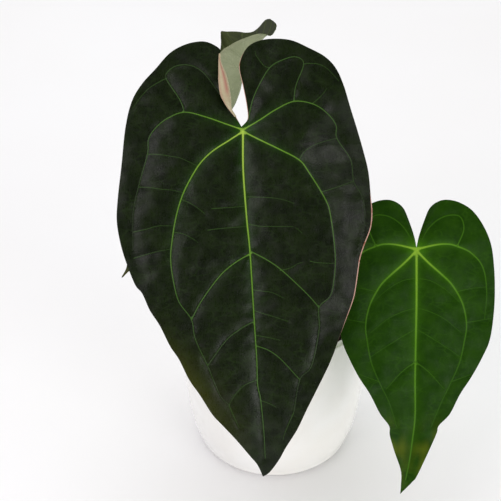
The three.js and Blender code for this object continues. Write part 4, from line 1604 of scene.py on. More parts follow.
@dataclass(frozen=True)
class SmallBlade(Leaf):
    """The small blade behind, of which the front shows only the thin tip."""

    piece: str = "small_blade"
    node: str = "blade_4"
    slot: Slot = Slot.DARK_LEAF
    seat: Spot = (-61.0, 46.0, 197.0)
    tip: Spot = (-112.0, -5.5, 149.5)
    facing: Spot = (-0.33, -0.43, 0.84)
    tip_drop: float = -86
    trough: Bend = Bend(0.16, (0.004, 0.004))
    quilting: float = 0.7
    pale_share: float = 0.6
    pale_below: Flat = (70, 84)

    def aged(self, x: Array, y: Array, margin: Array) -> Array:
        """Where it is lighter: down its thin tip."""
        return self.pale_share * smooth_step(-y, *self.pale_below)

    def skin(self) -> Skin:
        """The open upper face, with what its finish reads.

        Returns:
            The open skin.
        """
        seat = np.array(self.seat)
        down = (self.tip - seat) / np.linalg.norm(self.tip - seat)
        across = np.cross(self.facing, down)
        end = (0, self.tip_drop)
        right = [(-x, y) for x, y in reversed(SMALL_HALF_MARGIN)]
        return FlatBlade(
            seat=seat,
            margins=[[*SMALL_HALF_MARGIN, end], [end, *right]],
            ribs=SMALL_RIBS,
            threads=SMALL_THREADS,
            bend=self.trough.at,
            across=across / np.linalg.norm(across),
            upward=-down,
            quilting=self.quilting,
            aged=self.aged,
        ).skin()


# The young blade: folded along its keel, with a curled tip

YOUNG_ROWS = [
    [(-67, 62, 239), (-45, 72, 236), (-62, 94, 235)],
    [(-62, 75, 253), (-33, 77, 242), (-58, 111, 249)],
    [(-55, 86, 262), (-27, 88, 250), (-51, 123, 258)],
    [(-47, 97, 270), (-24, 100, 258), (-42, 131, 263)],
    [(-43, 102, 273), (-21.5, 106.5, 261.5), (-41.2, 140.4, 271.6)],
    [(-39, 107, 276), (-19, 113, 265), (-41, 143, 274)],
    [(-36, 109.5, 277), (-17.6, 116.2, 266.7), (-38, 143.6, 273.9)],
    [(-28, 116, 279), (-14, 124, 271), (-29, 145, 273)],
    [(-17, 124, 280), (-9, 133, 273), (-18, 146, 272)],
    [(-9, 133, 277), (-6, 139, 273), (-12, 149, 275)],
    [(-3, 138, 273), (-1, 146, 275), (-7, 153, 279)],
    [(0.8, 143.6, 275.5), (1.2, 149.6, 277.3), (-3.2, 153.6, 279.6)],
]


@dataclass(frozen=True)
class YoungBlade(Leaf):
    """The folded young blade behind the largest one's notch; its face is the inner one."""

    piece: str = "young_blade"
    node: str = "blade_3"
    slot: Slot = Slot.YOUNG_LEAF
    along: int = 110
    across: int = 48
    length: float = 110.0
    width: float = 26.0
    thickness: float = 0.45
    keel_half: float = 0.8
    keel_glow: float = 0.75
    vein_gap: float = 13.0
    vein_slant: float = 0.9
    vein_half: float = 0.5
    vein_glow: float = 0.3
    groove_depth: float = 0.35
    groove_reach: float = 2.0
    groove_starts: float = 4.0
    painted_shade_share: float = 0.75
    painted_shade_beyond: Flat = (0.68, 0.8)
    flush: float = 0.25
    flush_reach: float = 3.0

    def skin(self) -> Skin:
        """The inner face of the fold, with what its finish reads.

        Returns:
            The open skin.
        """
        net = net_surface(np.array(YOUNG_ROWS, float), self.along, self.across)
        points = net.reshape(-1, 3)
        triangles = net_triangles(self.along + 1, self.across + 1)
        lengthwise, sideways = np.meshgrid(
            np.linspace(0, 1, self.along + 1), np.linspace(-1, 1, self.across + 1), indexing="ij"
        )
        along, side = lengthwise.ravel(), sideways.ravel()
        row, middle = self.along // 3, self.across // 2
        mouth = 0.5 * (net[row, 0] + net[row, -1])
        outward = vertex_normals(points, triangles)[row * (self.across + 1) + middle]
        if outward @ (mouth - net[row, middle]) < 0:
            triangles = triangles[:, [0, 2, 1]]
        from_keel = np.abs(side) * self.width
        slanted = (along * self.length - from_keel * self.vein_slant) / self.vein_gap
        from_side = np.abs(slanted - np.round(slanted)) * self.vein_gap
        margin = self.width - from_keel
        count = len(points)
        values = {name: np.zeros(count) for name in VALUES}
        values |= {
            "rib": from_keel / self.keel_half,
            "glow": self.keel_glow * (1 - along),
            "thread": from_side / self.vein_half,
            "thread_glow": np.full(count, self.vein_glow),
            "margin": margin,
            # Towards the tip the face is painted darker and greyer: painted shade.
            "aged": self.painted_shade_share * smooth_step(along, *self.painted_shade_beyond),
            "blush": self.flush * np.exp(-margin / self.flush_reach),
        }
        groove = self.groove_depth * np.exp(-from_side / self.groove_reach)
        groove = groove * smooth_step(from_keel, 0.0, self.groove_starts)
        bent = points - vertex_normals(points, triangles) * groove[:, None]
        flat = np.column_stack([side * self.width, along * self.length]) / FLAT_UNIT
        return Skin(bent, triangles, flat, values, np.full(count, self.thickness))


# Pot


@dataclass(frozen=True)
class Pot:
    """The round tapered pot."""

    height: float = 130.0
    base_radius: float = 57.5
    foot_radius: float = 50.0
    top_radius: float = 72.0
    foot_height: float = 6.0
    wall: float = 5.0
    floor: float = 8.0
    corner_height: float = 12.0
    corner: float = 4.0
    rim_height: float = 2.0
    flare: float = 0.62
    flare_rate: float = 6.0
    sides: int = 160
    foot_cuts: int = 10
    wall_cuts: int = 34
    rim_cuts: int = 12

    def radius(self, height: float | Array) -> float | Array:
        """The outer radius, which flares fast above the foot and then grows almost evenly.

        Args:
            height: how high above the base.

        Returns:
            The radius.
        """
        rise = height / self.height
        share = self.flare * (1 - np.exp(-self.flare_rate * rise)) + (1 - self.flare) * rise
        return self.base_radius + (self.top_radius - self.base_radius) * share

    def floor_radius(self) -> float:
        """The radius of the flat floor inside."""
        return self.radius(self.corner_height) - self.wall - self.corner

    def profile(self) -> list[Flat]:
        """The wall's profile.

        Returns:
            Radii and heights, from the axis under the pot to the axis inside it.
        """
        turns = np.linspace(0, math.pi / 2, self.foot_cuts)[1:]
        reach = self.radius(self.foot_height) - self.foot_radius
        radii = self.foot_radius + reach * np.sin(turns)
        foot = list(zip(radii, self.foot_height * (1 - np.cos(turns))))
        shoulder = self.height - self.rim_height
        levels = np.linspace(self.foot_height, shoulder, self.wall_cuts)[1:]
        outside = [(self.radius(z), z) for z in levels]
        half = self.wall / 2
        middle = self.radius(self.height) - half
        over = np.linspace(0, math.pi, self.rim_cuts)[1:-1]
        rim = list(zip(middle + half * np.cos(over), shoulder + self.rim_height * np.sin(over)))
        inside = [(self.radius(z) - self.wall, z) for z in levels[::-1][:-2]]
        under = [(0.0, 0.0), (self.foot_radius * 0.5, 0.0), (self.foot_radius, 0.0)]
        floor = [(self.floor_radius(), self.floor), (0.0, self.floor)]
        return [*under, *foot, *outside, *rim, *inside, *floor]

    def build(self, finish: Material) -> None:
        """Builds the piece and puts it in the frame."""
        piece = mesh_piece("glazed_pot", turned(self.profile(), self.sides), [finish])
        hand_over(piece, Slot.GLAZE, "pot")


def turned(profile: list[Flat], sides: int) -> Sheet:
    """A closed solid from a profile turned about the Z axis.

    Args:
        profile: radii and heights, starting and ending on the axis.
        sides: the steps round.

    Returns:
        The closed sheet.
    """
    turns = np.linspace(0, 2 * math.pi, sides, endpoint=False)
    rings = np.array(profile[1:-1])
    x = np.outer(rings[:, 0], np.cos(turns))
    y = np.outer(rings[:, 0], np.sin(turns))
    points = np.stack([x, y, np.repeat(rings[:, 1:], sides, axis=1)], 2).reshape(-1, 3)
    first, last = len(points), len(points) + 1
    points = np.vstack([points, (0, 0, profile[0][1]), (0, 0, profile[-1][1])])
    start = np.arange(sides)
    after = (start + 1) % sides
    end = start + (len(rings) - 1) * sides
    caps = [
        np.stack([np.full(sides, first), after, start], 1),
        np.stack([np.full(sides, last), end, after + (len(rings) - 1) * sides], 1),
    ]
    triangles = np.concatenate([net_triangles(len(rings), sides, wrapped=True), *caps])
    around = np.tile(np.linspace(0, 1, sides, endpoint=False), len(rings))
    flat = np.column_stack([np.append(around, (0, 0)), points[:, 2] / FLAT_UNIT])
    return Sheet(points, triangles, flat, {}, np.zeros(len(triangles), int))


# Potting mix


@dataclass
class SeededDraws:
    """The same draws as the source's: a 32-bit counter that starts at the seed, mixed."""

    state: int
    full: int = 0xFFFFFFFF
    stride: int = 0x6D2B79F5

    def draw(self) -> float:
        """Draws once.

        Returns:
            The next number, 0 to 1.
        """
        self.state = (self.state + self.stride) & self.full
        mixed = ((self.state ^ (self.state >> 15)) * (1 | self.state)) & self.full
        mixed = ((mixed + (((mixed ^ (mixed >> 7)) * (61 | mixed)) & self.full)) & self.full) ^ mixed
        return (mixed ^ (mixed >> 14)) / (self.full + 1)

    def between(self, low: float, high: float) -> float:
        """A draw between two values."""
        return low + (high - low) * self.draw()


@dataclass(frozen=True)
class Lump:
    """A rough lump of unit size, whose copies are the chips, bits and crumbs."""

    name: str
    seed: int
    cuts: int
    roundness: float
    rough: float
    ball_radius: float = 0.6
    seed_shift: float = 3.1
    knobs: float = 2.3

    def build(self) -> Piece:
        """Builds the lump.

        Returns:
            An object that the scene keeps only until the copies are made.
        """
        spots, faces = self.cube()
        ball = spots / np.linalg.norm(spots, axis=1, keepdims=True) * self.ball_radius
        shaped = spots * (1 - self.roundness) + ball * self.roundness
        shift = np.array((self.seed * self.seed_shift, 0, 0))
        noise.seed_set(LUMP_SEED)
        push = [noise.noise_vector(Vector(spot * self.knobs + shift)) for spot in shaped]
        moved = shaped + np.array(push) * self.rough
        mesh = bpy.data.meshes.new(self.name)
        mesh.from_pydata(moved.tolist(), [], faces)
        mark_points(mesh, "local", moved)
        mesh.shade_smooth()
        mesh.set_sharp_from_angle(angle=SHARP_LUMP_ANGLE)
        return placed_object(mesh)

    def cube(self) -> tuple[Array, list[list[int]]]:
        """A cube of side 1 with its faces cut into squares.

        Returns:
            Its points and faces.
        """
        steps = np.linspace(-0.5, 0.5, self.cuts + 1)
        found: dict[Spot, int] = {}
        faces = []
        for axis in range(3):
            for sign in (-1, 1):
                for a in range(self.cuts):
                    for b in range(self.cuts):
                        ring = [(a, b), (a + 1, b), (a + 1, b + 1), (a, b + 1)]
                        corners = []
                        for i, j in ring if sign > 0 else ring[::-1]:
                            spot = [0.0, 0.0, 0.0]
                            spot[axis] = 0.5 * sign
                            spot[(axis + 1) % 3] = float(steps[i])
                            spot[(axis + 2) % 3] = float(steps[j])
                            corners.append(found.setdefault(tuple(spot), len(found)))
                        faces.append(corners)
        return np.array(list(found)), faces


SCATTER_SEED = 11


@dataclass(frozen=True)
class Copy:
    """A copy of a lump: its middle, its angles, its length, width and height, and its tone, 0 to 1."""

    place: Spot
    turn: Spot
    size: Spot
    tone: float


@dataclass
class Scatter:
    """Copies of lumps of one kind."""

    name: str
    lumps: list[Lump]
    copies: list[Copy] = field(default_factory=list)

    def build(self, finish: Material) -> Piece:
        """Makes the copies with Geometry Nodes.

        Args:
            finish: the lumps' finish.

        Returns:
            The plain mesh object.
        """
        titles = [f"Lump {i + 1}" for i in range(len(self.lumps))]
        kinds = {title: "NodeSocketObject" for title in titles}
        kinds |= {"Seed": "NodeSocketInt", "Finish": "NodeSocketMaterial"}
        board = GeometryBoard(f"{self.name}_scatter", kinds)
        shapes = []
        for title in titles:
            lump = {"Object": board.given(title)}
            shape = board.node("GeometryNodeObjectInfo", inputs=lump, output="Geometry")
            shapes.append(board.node("GeometryNodeGeometryToInstance", inputs={0: shape}))
        joined = board.node("GeometryNodeJoinGeometry", inputs={0: shapes})
        pick = board.node(
            "FunctionNodeRandomValue",
            {"data_type": "INT"},
            {4: 0, 5: len(self.lumps) - 1, "Seed": board.given("Seed")},
            2,
        )
        angles = board.named("turn", "FLOAT_VECTOR")
        turn = board.node("FunctionNodeEulerToRotation", inputs={"Euler": angles})
        copies = board.node(
            "GeometryNodeInstanceOnPoints",
            inputs={
                "Points": board.given("Geometry"),
                "Instance": joined,
                "Pick Instance": True,
                "Instance Index": pick,
                "Rotation": turn,
                "Scale": board.named("size", "FLOAT_VECTOR"),
            },
        )
        board.end(copies, board.given("Finish"))
        sources = [lump.build() for lump in self.lumps]
        piece = self.points_piece()
        inputs = {title.replace(" ", "_"): source for title, source in zip(titles, sources)}
        board.grow(piece, **inputs, Seed=SCATTER_SEED, Finish=finish)
        for source in sources:
            bpy.data.meshes.remove(source.data)
        return piece

    def points_piece(self) -> Piece:
        """The points that carry the copies.

        Returns:
            An object of loose points, in metres.
        """
        mesh = bpy.data.meshes.new(self.name)
        mesh.from_pydata([tuple(MM * c for c in copy.place) for copy in self.copies], [], [])
        mark_points(mesh, "turn", np.array([copy.turn for copy in self.copies]))
        mark_points(mesh, "size", np.array([copy.size for copy in self.copies]) * MM)
        mark_points(mesh, "tone", np.array([copy.tone for copy in self.copies]))
        return placed_object(mesh)


@dataclass
class PottingMix:
    """Bark mix to the pot's inner wall, with chips, small bits and white crumbs on it."""

    pot: Pot
    level: float = 113.0
    gap: float = 0.5
    clear: float = 0.3
    ease: float = 1.0
    shoulder: float = 18
    levels: tuple[float, ...] = (30, 45, 60, 75, 90, 100, 108)
    edge_drop: float = 0.4
    top_cuts: int = 42
    bumps: float = 1.6
    bump_size: float = 6.0
    bump_detail: tuple[float, float, int] = (0.8, 2.0, 4)
    bump_room: float = 3.0
    bumped_within: float = 0.1
    tone: float = 0.06
    sides: int = 120
    chips: int = 68
    chip_seed: int = 20
    chip_darkest: float = 0.2
    chip_tones: float = 0.75
    chip_sizes: tuple[Flat, Flat, Flat] = ((11, 21), (8, 13), (6, 9))
    chip_tilt: float = 0.7
    chip_spread: float = 2.4
    chip_sunk: float = 0.6
    golden_turn: float = math.pi * (3 - math.sqrt(5))
    tone_step: float = 0.618
    bits: int = 900
    bit_sizes: Flat = (2.5, 6.5)
    crumbs: int = 90
    crumb_sizes: Flat = (2.2, 4.6)
    loose_heights: Flat = (0.5, 4.6)
    loose_turns: Spot = (1.6, 1.6, 6.2)
    loose_widths: Flat = (0.5, 0.85)
    loose_depths: Flat = (0.35, 0.7)
    stem_radius: float = 10.5

    def inner(self, height: float) -> float:
        """The mix's radius at a height."""
        return self.pot.radius(height) - self.pot.wall - self.gap

    def bed(self, finish: Material) -> None:
        """Builds the body of the mix and puts it in the frame.

        Args:
            finish: its finish.
        """
        bottom = self.pot.floor + self.clear
        under = [(0, bottom), (self.pot.floor_radius() - self.ease, bottom)]
        under.append((self.inner(self.shoulder) - self.ease, self.shoulder))
        side = [(self.inner(z) - self.clear, z) for z in [*self.levels, self.level - self.edge_drop]]
        reach = self.inner(self.level)
        top = [(reach * share, self.level) for share in np.linspace(1, 0, self.top_cuts)[1:-1]]
        sheet = turned([*under, *side, *top, (0, self.level)], self.sides)
        high = sheet.points[:, 2] > self.level - self.bumped_within
        spots = sheet.points[high] / self.bump_size
        bumps = [noise.fractal(Vector(spot), *self.bump_detail) for spot in spots]
        away = smooth_step(reach - np.hypot(*sheet.points[high, :2].T), 0.0, self.bump_room)
        sheet.points[high, 2] += self.bumps * np.array(bumps) * away
        sheet.values["tone"] = np.full(len(sheet.points), self.tone)
        hand_over(mesh_piece("bark_mix", sheet, [finish]), Slot.BARK, "potting_mix")

    def bark(self) -> Scatter:
        """The large chips, where the source has them.

        Returns:
            The chips with their places.
        """
        draws = SeededDraws(self.chip_seed)
        lumps = [Lump(f"chip_{i}", seed=i, cuts=6, roundness=0.08, rough=0.24) for i in range(3)]
        scatter = Scatter("bark_chips", lumps)
        for i in range(self.chips):
            size = tuple(draws.between(*limits) for limits in self.chip_sizes)
            reach = self.inner(self.level) - 0.5 * math.hypot(size[0], size[1]) - self.ease
            out = reach * math.sqrt((i + 0.5) / self.chips)
            turn = i * self.golden_turn
            tilt = [(draws.draw() - 0.5) * self.chip_tilt for _ in range(2)]
            angles = (*tilt, draws.draw() * math.pi)
            height = self.level + (draws.draw() - self.chip_sunk) * self.chip_spread
            if out >= self.stem_radius:
                place = (out * math.cos(turn), out * math.sin(turn), height)
                tone = self.chip_darkest + self.chip_tones * ((i * self.tone_step) % 1)
                scatter.copies.append(Copy(place, angles, size, tone))
        return scatter

    def loose(self, scatter: Scatter, count: int, sizes: Flat, seed: int) -> Scatter:
        """Small pieces all over the surface.

        Args:
            scatter: the pieces' name and shapes, still without copies.
            count: how many.
            sizes: the shortest and longest side.
            seed: where the draws start.

        Returns:
            The same, with its copies.
        """
        draws = SeededDraws(seed)
        for _ in range(count):
            long = draws.between(*sizes)
            out = math.sqrt(draws.between(self.stem_radius**2, (self.inner(self.level) - long) ** 2))
            turn = draws.draw() * 2 * math.pi
            height = self.level + draws.between(*self.loose_heights)
            place = (out * math.cos(turn), out * math.sin(turn), height)
            angles = tuple((draws.draw() - 0.5) * reach for reach in self.loose_turns)
            size = (long, long * draws.between(*self.loose_widths), long * draws.between(*self.loose_depths))
            scatter.copies.append(Copy(place, angles, size, draws.draw()))
        return scatter

    def build(self, bark: Material, white: Material) -> None:
        """Builds the pieces and puts them in the frame.

        Args:
            bark: the bark's finish.
            white: the white crumbs' finish.
        """
        self.bed(bark)
        hand_over(self.bark().build(bark), Slot.BARK)
        lumps = [Lump(f"bit_{i}", seed=5 + i, cuts=2, roundness=0.2, rough=0.3) for i in range(3)]
        bits = self.loose(Scatter("bark_bits", lumps), self.bits, self.bit_sizes, seed=3)
        hand_over(bits.build(bark), Slot.BARK)
        lumps = [Lump(f"crumb_{i}", seed=9 + i, cuts=4, roundness=0.75, rough=0.22) for i in range(2)]
        crumbs = self.loose(Scatter("white_crumbs", lumps), self.crumbs, self.crumb_sizes, seed=8)
        hand_over(crumbs.build(white), Slot.BARK)


# Rootstock, roots, sheaths and stalks


def tube_tree() -> GeometryBoard:
    """The tree that sweeps a round section along lines, its radius read from them.

    Returns:
        The tree.
    """
    board = GeometryBoard("tubes", {"Sides": "NodeSocketInt", "Finish": "NodeSocketMaterial"})
    round_inputs = {"Resolution": board.given("Sides"), "Radius": 1.0}
    ring = board.node("GeometryNodeCurvePrimitiveCircle", inputs=round_inputs)
    share = board.node("GeometryNodeSplineParameter")
    marked = board.node(
        "GeometryNodeStoreNamedAttribute",
        {"data_type": "FLOAT", "domain": "POINT"},
        {"Geometry": ring, "Name": "around", "Value": share},
    )
    line = board.node("GeometryNodeMeshToCurve", inputs={"Mesh": board.given("Geometry")})
    tube = board.node(
        "GeometryNodeCurveToMesh",
        inputs={"Curve": line, "Profile Curve": marked, "Scale": board.named("radius"), "Fill Caps": True},
    )
    smooth = board.node("GeometryNodeSetShadeSmooth", inputs={"Geometry": tube, "Shade Smooth": True})
    board.end(smooth, board.given("Finish"))
    return board


@dataclass
class Rootstock:
    """The short stem with its leaf scars, and the roots that it sends down into the mix."""

    sides: int = 72
    levels: int = 95
    crown: float = 131.0
    crown_radius: float = 10.5
    crown_rise: float = 0.3
    crown_rings: tuple[float, ...] = (0.8, 0.6, 0.4, 0.2)
    scars: tuple[float, ...] = (114.5, 118.0, 121.2, 124.0, 126.6, 128.8)
    scar_tilt: float = 0.9
    scar_turn: float = 2.4
    scar_height: float = 0.45
    scar_width: float = 0.45
    groove_depth: float = 0.25
    groove_width: float = 0.6
    groove_above: float = 1.0
    knobs: float = 0.25
    knob_size: float = 2.2
    side_beyond: Flat = (8.5, 9.5)
    root_radius: float = 2.2
    root_taper: float = 0.6
    root_knobs: float = 0.18
    root_knob_rate: float = 9
    root_step: float = 0.7
    profile: tuple[Flat, ...] = (
        (84, 7), (92, 8.2), (100, 9), (106, 9.4), (112, 9.8), (116, 9), (121, 10.6), (124, 11.2), (127, 11.5),
        (129.5, 11.3), (131, 10.5),
    )
    roots: tuple[tuple[Spot, ...], ...] = (
        ((6, -4, 120), (15, -10, 120), (24, -17, 117), (30, -22, 105)),
        ((-6, -3, 121), (-15, -9, 121), (-25, -17, 118), (-30, -22, 104)),
        ((-2, 6, 121), (-6, 17, 120), (-10, 28, 116), (-13, 34, 104)),
        ((6, 3, 119), (16, 9, 119), (27, 12, 116), (34, 14, 104)),
    )

    def stem(self, finish: Material) -> None:
        """Builds the stem and puts it in the frame.

        Args:
            finish: its finish.
        """
        heights, radii = (np.array(values, float) for values in zip(*self.profile))
        levels = np.linspace(heights[0], heights[-1], self.levels)
        rings = [(float(r), float(z)) for r, z in zip(np.interp(levels, heights, radii), levels)]
        rise = self.crown_rise
        top = [(self.crown_radius * share, self.crown + rise * (1 - share)) for share in self.crown_rings]
        peak = (0, self.crown + self.crown_rise)
        sheet = turned([(0, levels[0]), *rings, *top, peak], self.sides)
        spots = sheet.points
        turn = np.arctan2(spots[:, 1], spots[:, 0])
        out = np.hypot(spots[:, 0], spots[:, 1])
        swell = np.zeros(len(spots))
        for i, scar in enumerate(self.scars):
            above = spots[:, 2] + self.scar_tilt * np.cos(turn - self.scar_turn * i) - scar
            swell += self.scar_height * np.exp(-((above / self.scar_width) ** 2))
            swell -= self.groove_depth * np.exp(-(((above - self.groove_above) / self.groove_width) ** 2))
        rough = np.array([self.knobs * noise.noise(Vector(spot) / self.knob_size) for spot in spots])
        on_side = smooth_step(out, *self.side_beyond)
        factor = 1 + (swell + rough) * on_side / np.maximum(out, 1)
        spots[:, :2] *= factor[:, None]
        hand_over(mesh_piece("rootstock_body", sheet, [finish]), Slot.ROOTSTOCK, "stem")

    def build(self, tubes: GeometryBoard, stem: Material, root: Material) -> None:
        """Builds the pieces and puts them in the frame.

        Args:
            tubes: the tree that makes the roots.
            stem: the stem's finish.
            root: the roots' finish.
        """
        self.stem(stem)
        lines = [smooth_line(path, self.root_step, centripetal=True) for path in self.roots]
        along = [run_shares(line) for line in lines]
        radii = []
        for i, shares in enumerate(along):
            places = [Vector((share * self.root_knob_rate, i, 0)) for share in shares]
            knobs = np.array([self.root_knobs * noise.noise(place) for place in places])
            radii.append((self.root_radius - self.root_taper * shares + knobs) * MM)
        values = {"radius": radii, "along": along}
        piece = line_piece("aerial_roots", lines, values)
        hand_over(tubes.grow(piece, Sides=20, Finish=root), Slot.ROOTSTOCK, "stem")


@dataclass(frozen=True)
class Sheath:
    """A papery sheath that stands round the stalks' bases, with fibres that outlast its skin."""

    number: int
    bearing: float
    height: float
    base: float = 124.0
    radius: float = 13.0
    lean: float = 8.0
    spread: float = 0.72
    taper: float = 0.86
    along: int = 60
    across: int = 44
    ragged: float = 0.06
    ragged_rate: float = 5
    wrinkle: float = 0.35
    wrinkle_rates: Flat = (6, 3)
    grain: Flat = (0.1, 0.33)
    thickness: float = 0.35
    fibres: int = 15
    fibre_proud: float = 0.35
    fibre_radius: float = 0.26
    fibre_taper: float = 0.16
    fibre_ends: Flat = (0.9, 1.12)
    fibre_sway: Flat = (-0.12, 0.12)
    fibre_step: float = 1.2
    fibre_seed: int = 40
    fibre_span: float = 0.9
    fibre_foot: float = 0.04
    fibre_knots: int = 9
    sways_above: float = 0.6

    def spot(self, up: float, across: float, proud: float = 0.0) -> Spot:
        """A place on the sheath.

        Args:
            up: from its base to its tip, 0 to 1.
            across: from one margin to the other, -1 to 1.
            proud: how far outside its skin.

        Returns:
            The place.
        """
        turn = math.radians(self.bearing) + across * self.spread * (1 - self.taper * min(up, 1.0) ** 2)
        radius = self.radius + self.lean * up**2 + proud
        return radius * math.cos(turn), radius * math.sin(turn), self.base + self.height * up

    def skin(self) -> Skin:
        """The outer face, wrinkled, with a ragged tip.

        Returns:
            The open skin.
        """
        spots, flat = [], []
        for i in range(self.along + 1):
            for j in range(self.across + 1):
                side = 2 * j / self.across - 1
                edge = Vector((side * self.ragged_rate, self.number, 0))
                up = i / self.along * (1 - self.ragged * ((noise.noise(edge) + 0.5) * (1 - abs(side))))
                place = Vector((side * self.wrinkle_rates[0], up * self.wrinkle_rates[1], self.number))
                spots.append(self.spot(up, side, self.wrinkle * noise.noise(place)))
                flat.append((side * self.grain[0], up * self.grain[1]))
        points = np.array(spots)
        triangles = net_triangles(self.along + 1, self.across + 1)
        outward = points[len(points) // 2] * (1, 1, 0)
        if vertex_normals(points, triangles)[len(points) // 2] @ outward < 0:
            triangles = triangles[:, [0, 2, 1]]
        return Skin(points, triangles, np.array(flat), {}, np.full(len(points), self.thickness))

    def fibre_lines(self) -> list[Array]:
        """The fibres' middle lines.

        Returns:
            The points of each, from its foot up.
        """
        draws = SeededDraws(self.fibre_seed + self.number)
        ups = np.linspace(self.fibre_foot, 1, self.fibre_knots)
        lines = []
        for i in range(self.fibres):
            side = 2 * self.fibre_span * (i + 0.5) / self.fibres - self.fibre_span
            end = draws.between(*self.fibre_ends)
            sway = draws.between(*self.fibre_sway)
            sides = [side + sway * max(0.0, up - self.sways_above) for up in ups]
            path = [self.spot(up * end, across, self.fibre_proud) for up, across in zip(ups, sides)]
            lines.append(smooth_line(path, self.fibre_step))
        return lines

    def build(self, tubes: GeometryBoard, skin: Material, fibre: Material) -> None:
        """Builds the pieces and puts them in the frame.

        Args:
            tubes: the tree that makes the fibres.
            skin: the skin's finish.
            fibre: the fibres' finish.
        """
        name = f"sheath_{self.number}"
        piece = mesh_piece(name, self.skin().closed(), [skin])
        hand_over(piece, Slot.DRY_SHEATH, f"cataphyll_{self.number}")
        lines = self.fibre_lines()
        along = [run_shares(line) for line in lines]
        radii = [(self.fibre_radius - self.fibre_taper * shares) * MM for shares in along]
        piece = line_piece(f"{name}_fibres", lines, {"radius": radii, "along": along})
        hand_over(tubes.grow(piece, Sides=5, Finish=fibre), Slot.DRY_SHEATH)


@dataclass(frozen=True)
class Stalk:
    """A stalk from the crown to a blade, with a swollen joint at its top."""

    number: int
    crown: Flat
    route: tuple[Spot, ...]
    base: float = 131.5
    upright: float = 7.0
    foot_radius: float = 4.0
    clasp: float = 14.0
    radius: float = 2.7
    joint_radius: float = 3.9
    joint_length: float = 17.0
    joint_lead: float = 5.0
    joint_rise: float = 7.0
    nose: float = 0.05
    ring_height: float = 0.09
    ring_rate: float = 2.4
    foot_fade: float = 9.0
    step: float = 1.3

    def build(self, tubes: GeometryBoard, finish: Material) -> None:
        """Builds the piece and puts it in the frame.

        Args:
            tubes: the tree that makes it.
            finish: its finish.
        """
        x, y = self.crown
        start = [(x, y, self.base), (x, y, self.base + self.upright)]
        line = smooth_line([*start, *self.route], self.step, centripetal=True)
        share = run_shares(line)
        length = float(np.linalg.norm(np.diff(line, axis=0), axis=1).sum())
        from_base, from_top = share * length, (1 - share) * length
        clasp = (self.foot_radius - self.radius) * np.exp(-from_base / self.clasp)
        in_joint = smooth_step(self.joint_length + self.joint_lead - from_top, 0, self.joint_rise)
        nose = np.sqrt(np.maximum(self.nose, 1 - np.maximum(0, 1 - from_top / self.joint_radius) ** 2))
        radius = (self.radius + clasp + (self.joint_radius - self.radius) * in_joint) * nose
        rings = self.ring_height * np.sin(from_top * self.ring_rate) * in_joint
        values = {
            "radius": [(radius + rings) * MM],
            "along": [share],
            "joint": [in_joint],
            "foot": [np.exp(-from_base / self.foot_fade)],
        }
        piece = line_piece(f"stalk_{self.number}", [line], values)
        hand_over(tubes.grow(piece, Sides=32, Finish=finish), Slot.STALK, f"petiole_{self.number}")


JOINT_BELOW = 6.0
JOINT_RUN = 15.0
JOINT_GAP = 1.4


def behind_blade(seat: Spot) -> list[Spot]:
    """The last stretch of a stalk, square to the back of a blade just below its notch.

    Args:
        seat: where the blade's veins meet.

    Returns:
        The stretch's two ends.
    """
    point = np.array(seat) - JOINT_BELOW * UPRIGHT
    away = (point - EYE) / np.linalg.norm(point - EYE)
    return [tuple(point + away * reach) for reach in (JOINT_RUN, JOINT_GAP)]


# Studio


@dataclass(frozen=True)
class Panel:
    """A soft rectangular light."""

    name: str
    place: Spot
    aim: Spot
    size: Flat
    radiance: float
    glint: float = 1.0
    tint: Spot = (1.0, 1.0, 1.0)

    def build(self) -> None:
        """Builds the light; its places are in metres."""
        data = bpy.data.lights.new(self.name, "AREA")
        data.color = self.tint
        data.shape = "RECTANGLE"
        data.size, data.size_y = self.size
        data.energy = self.radiance * math.pi * self.size[0] * self.size[1]
        data.specular_factor = self.glint
        lamp = bpy.data.objects.new(self.name, data)
        lamp.location = self.place
        lamp.rotation_euler = (Vector(self.aim) - Vector(self.place)).to_track_quat("-Z", "Y").to_euler()
        bpy.context.scene.collection.objects.link(lamp)


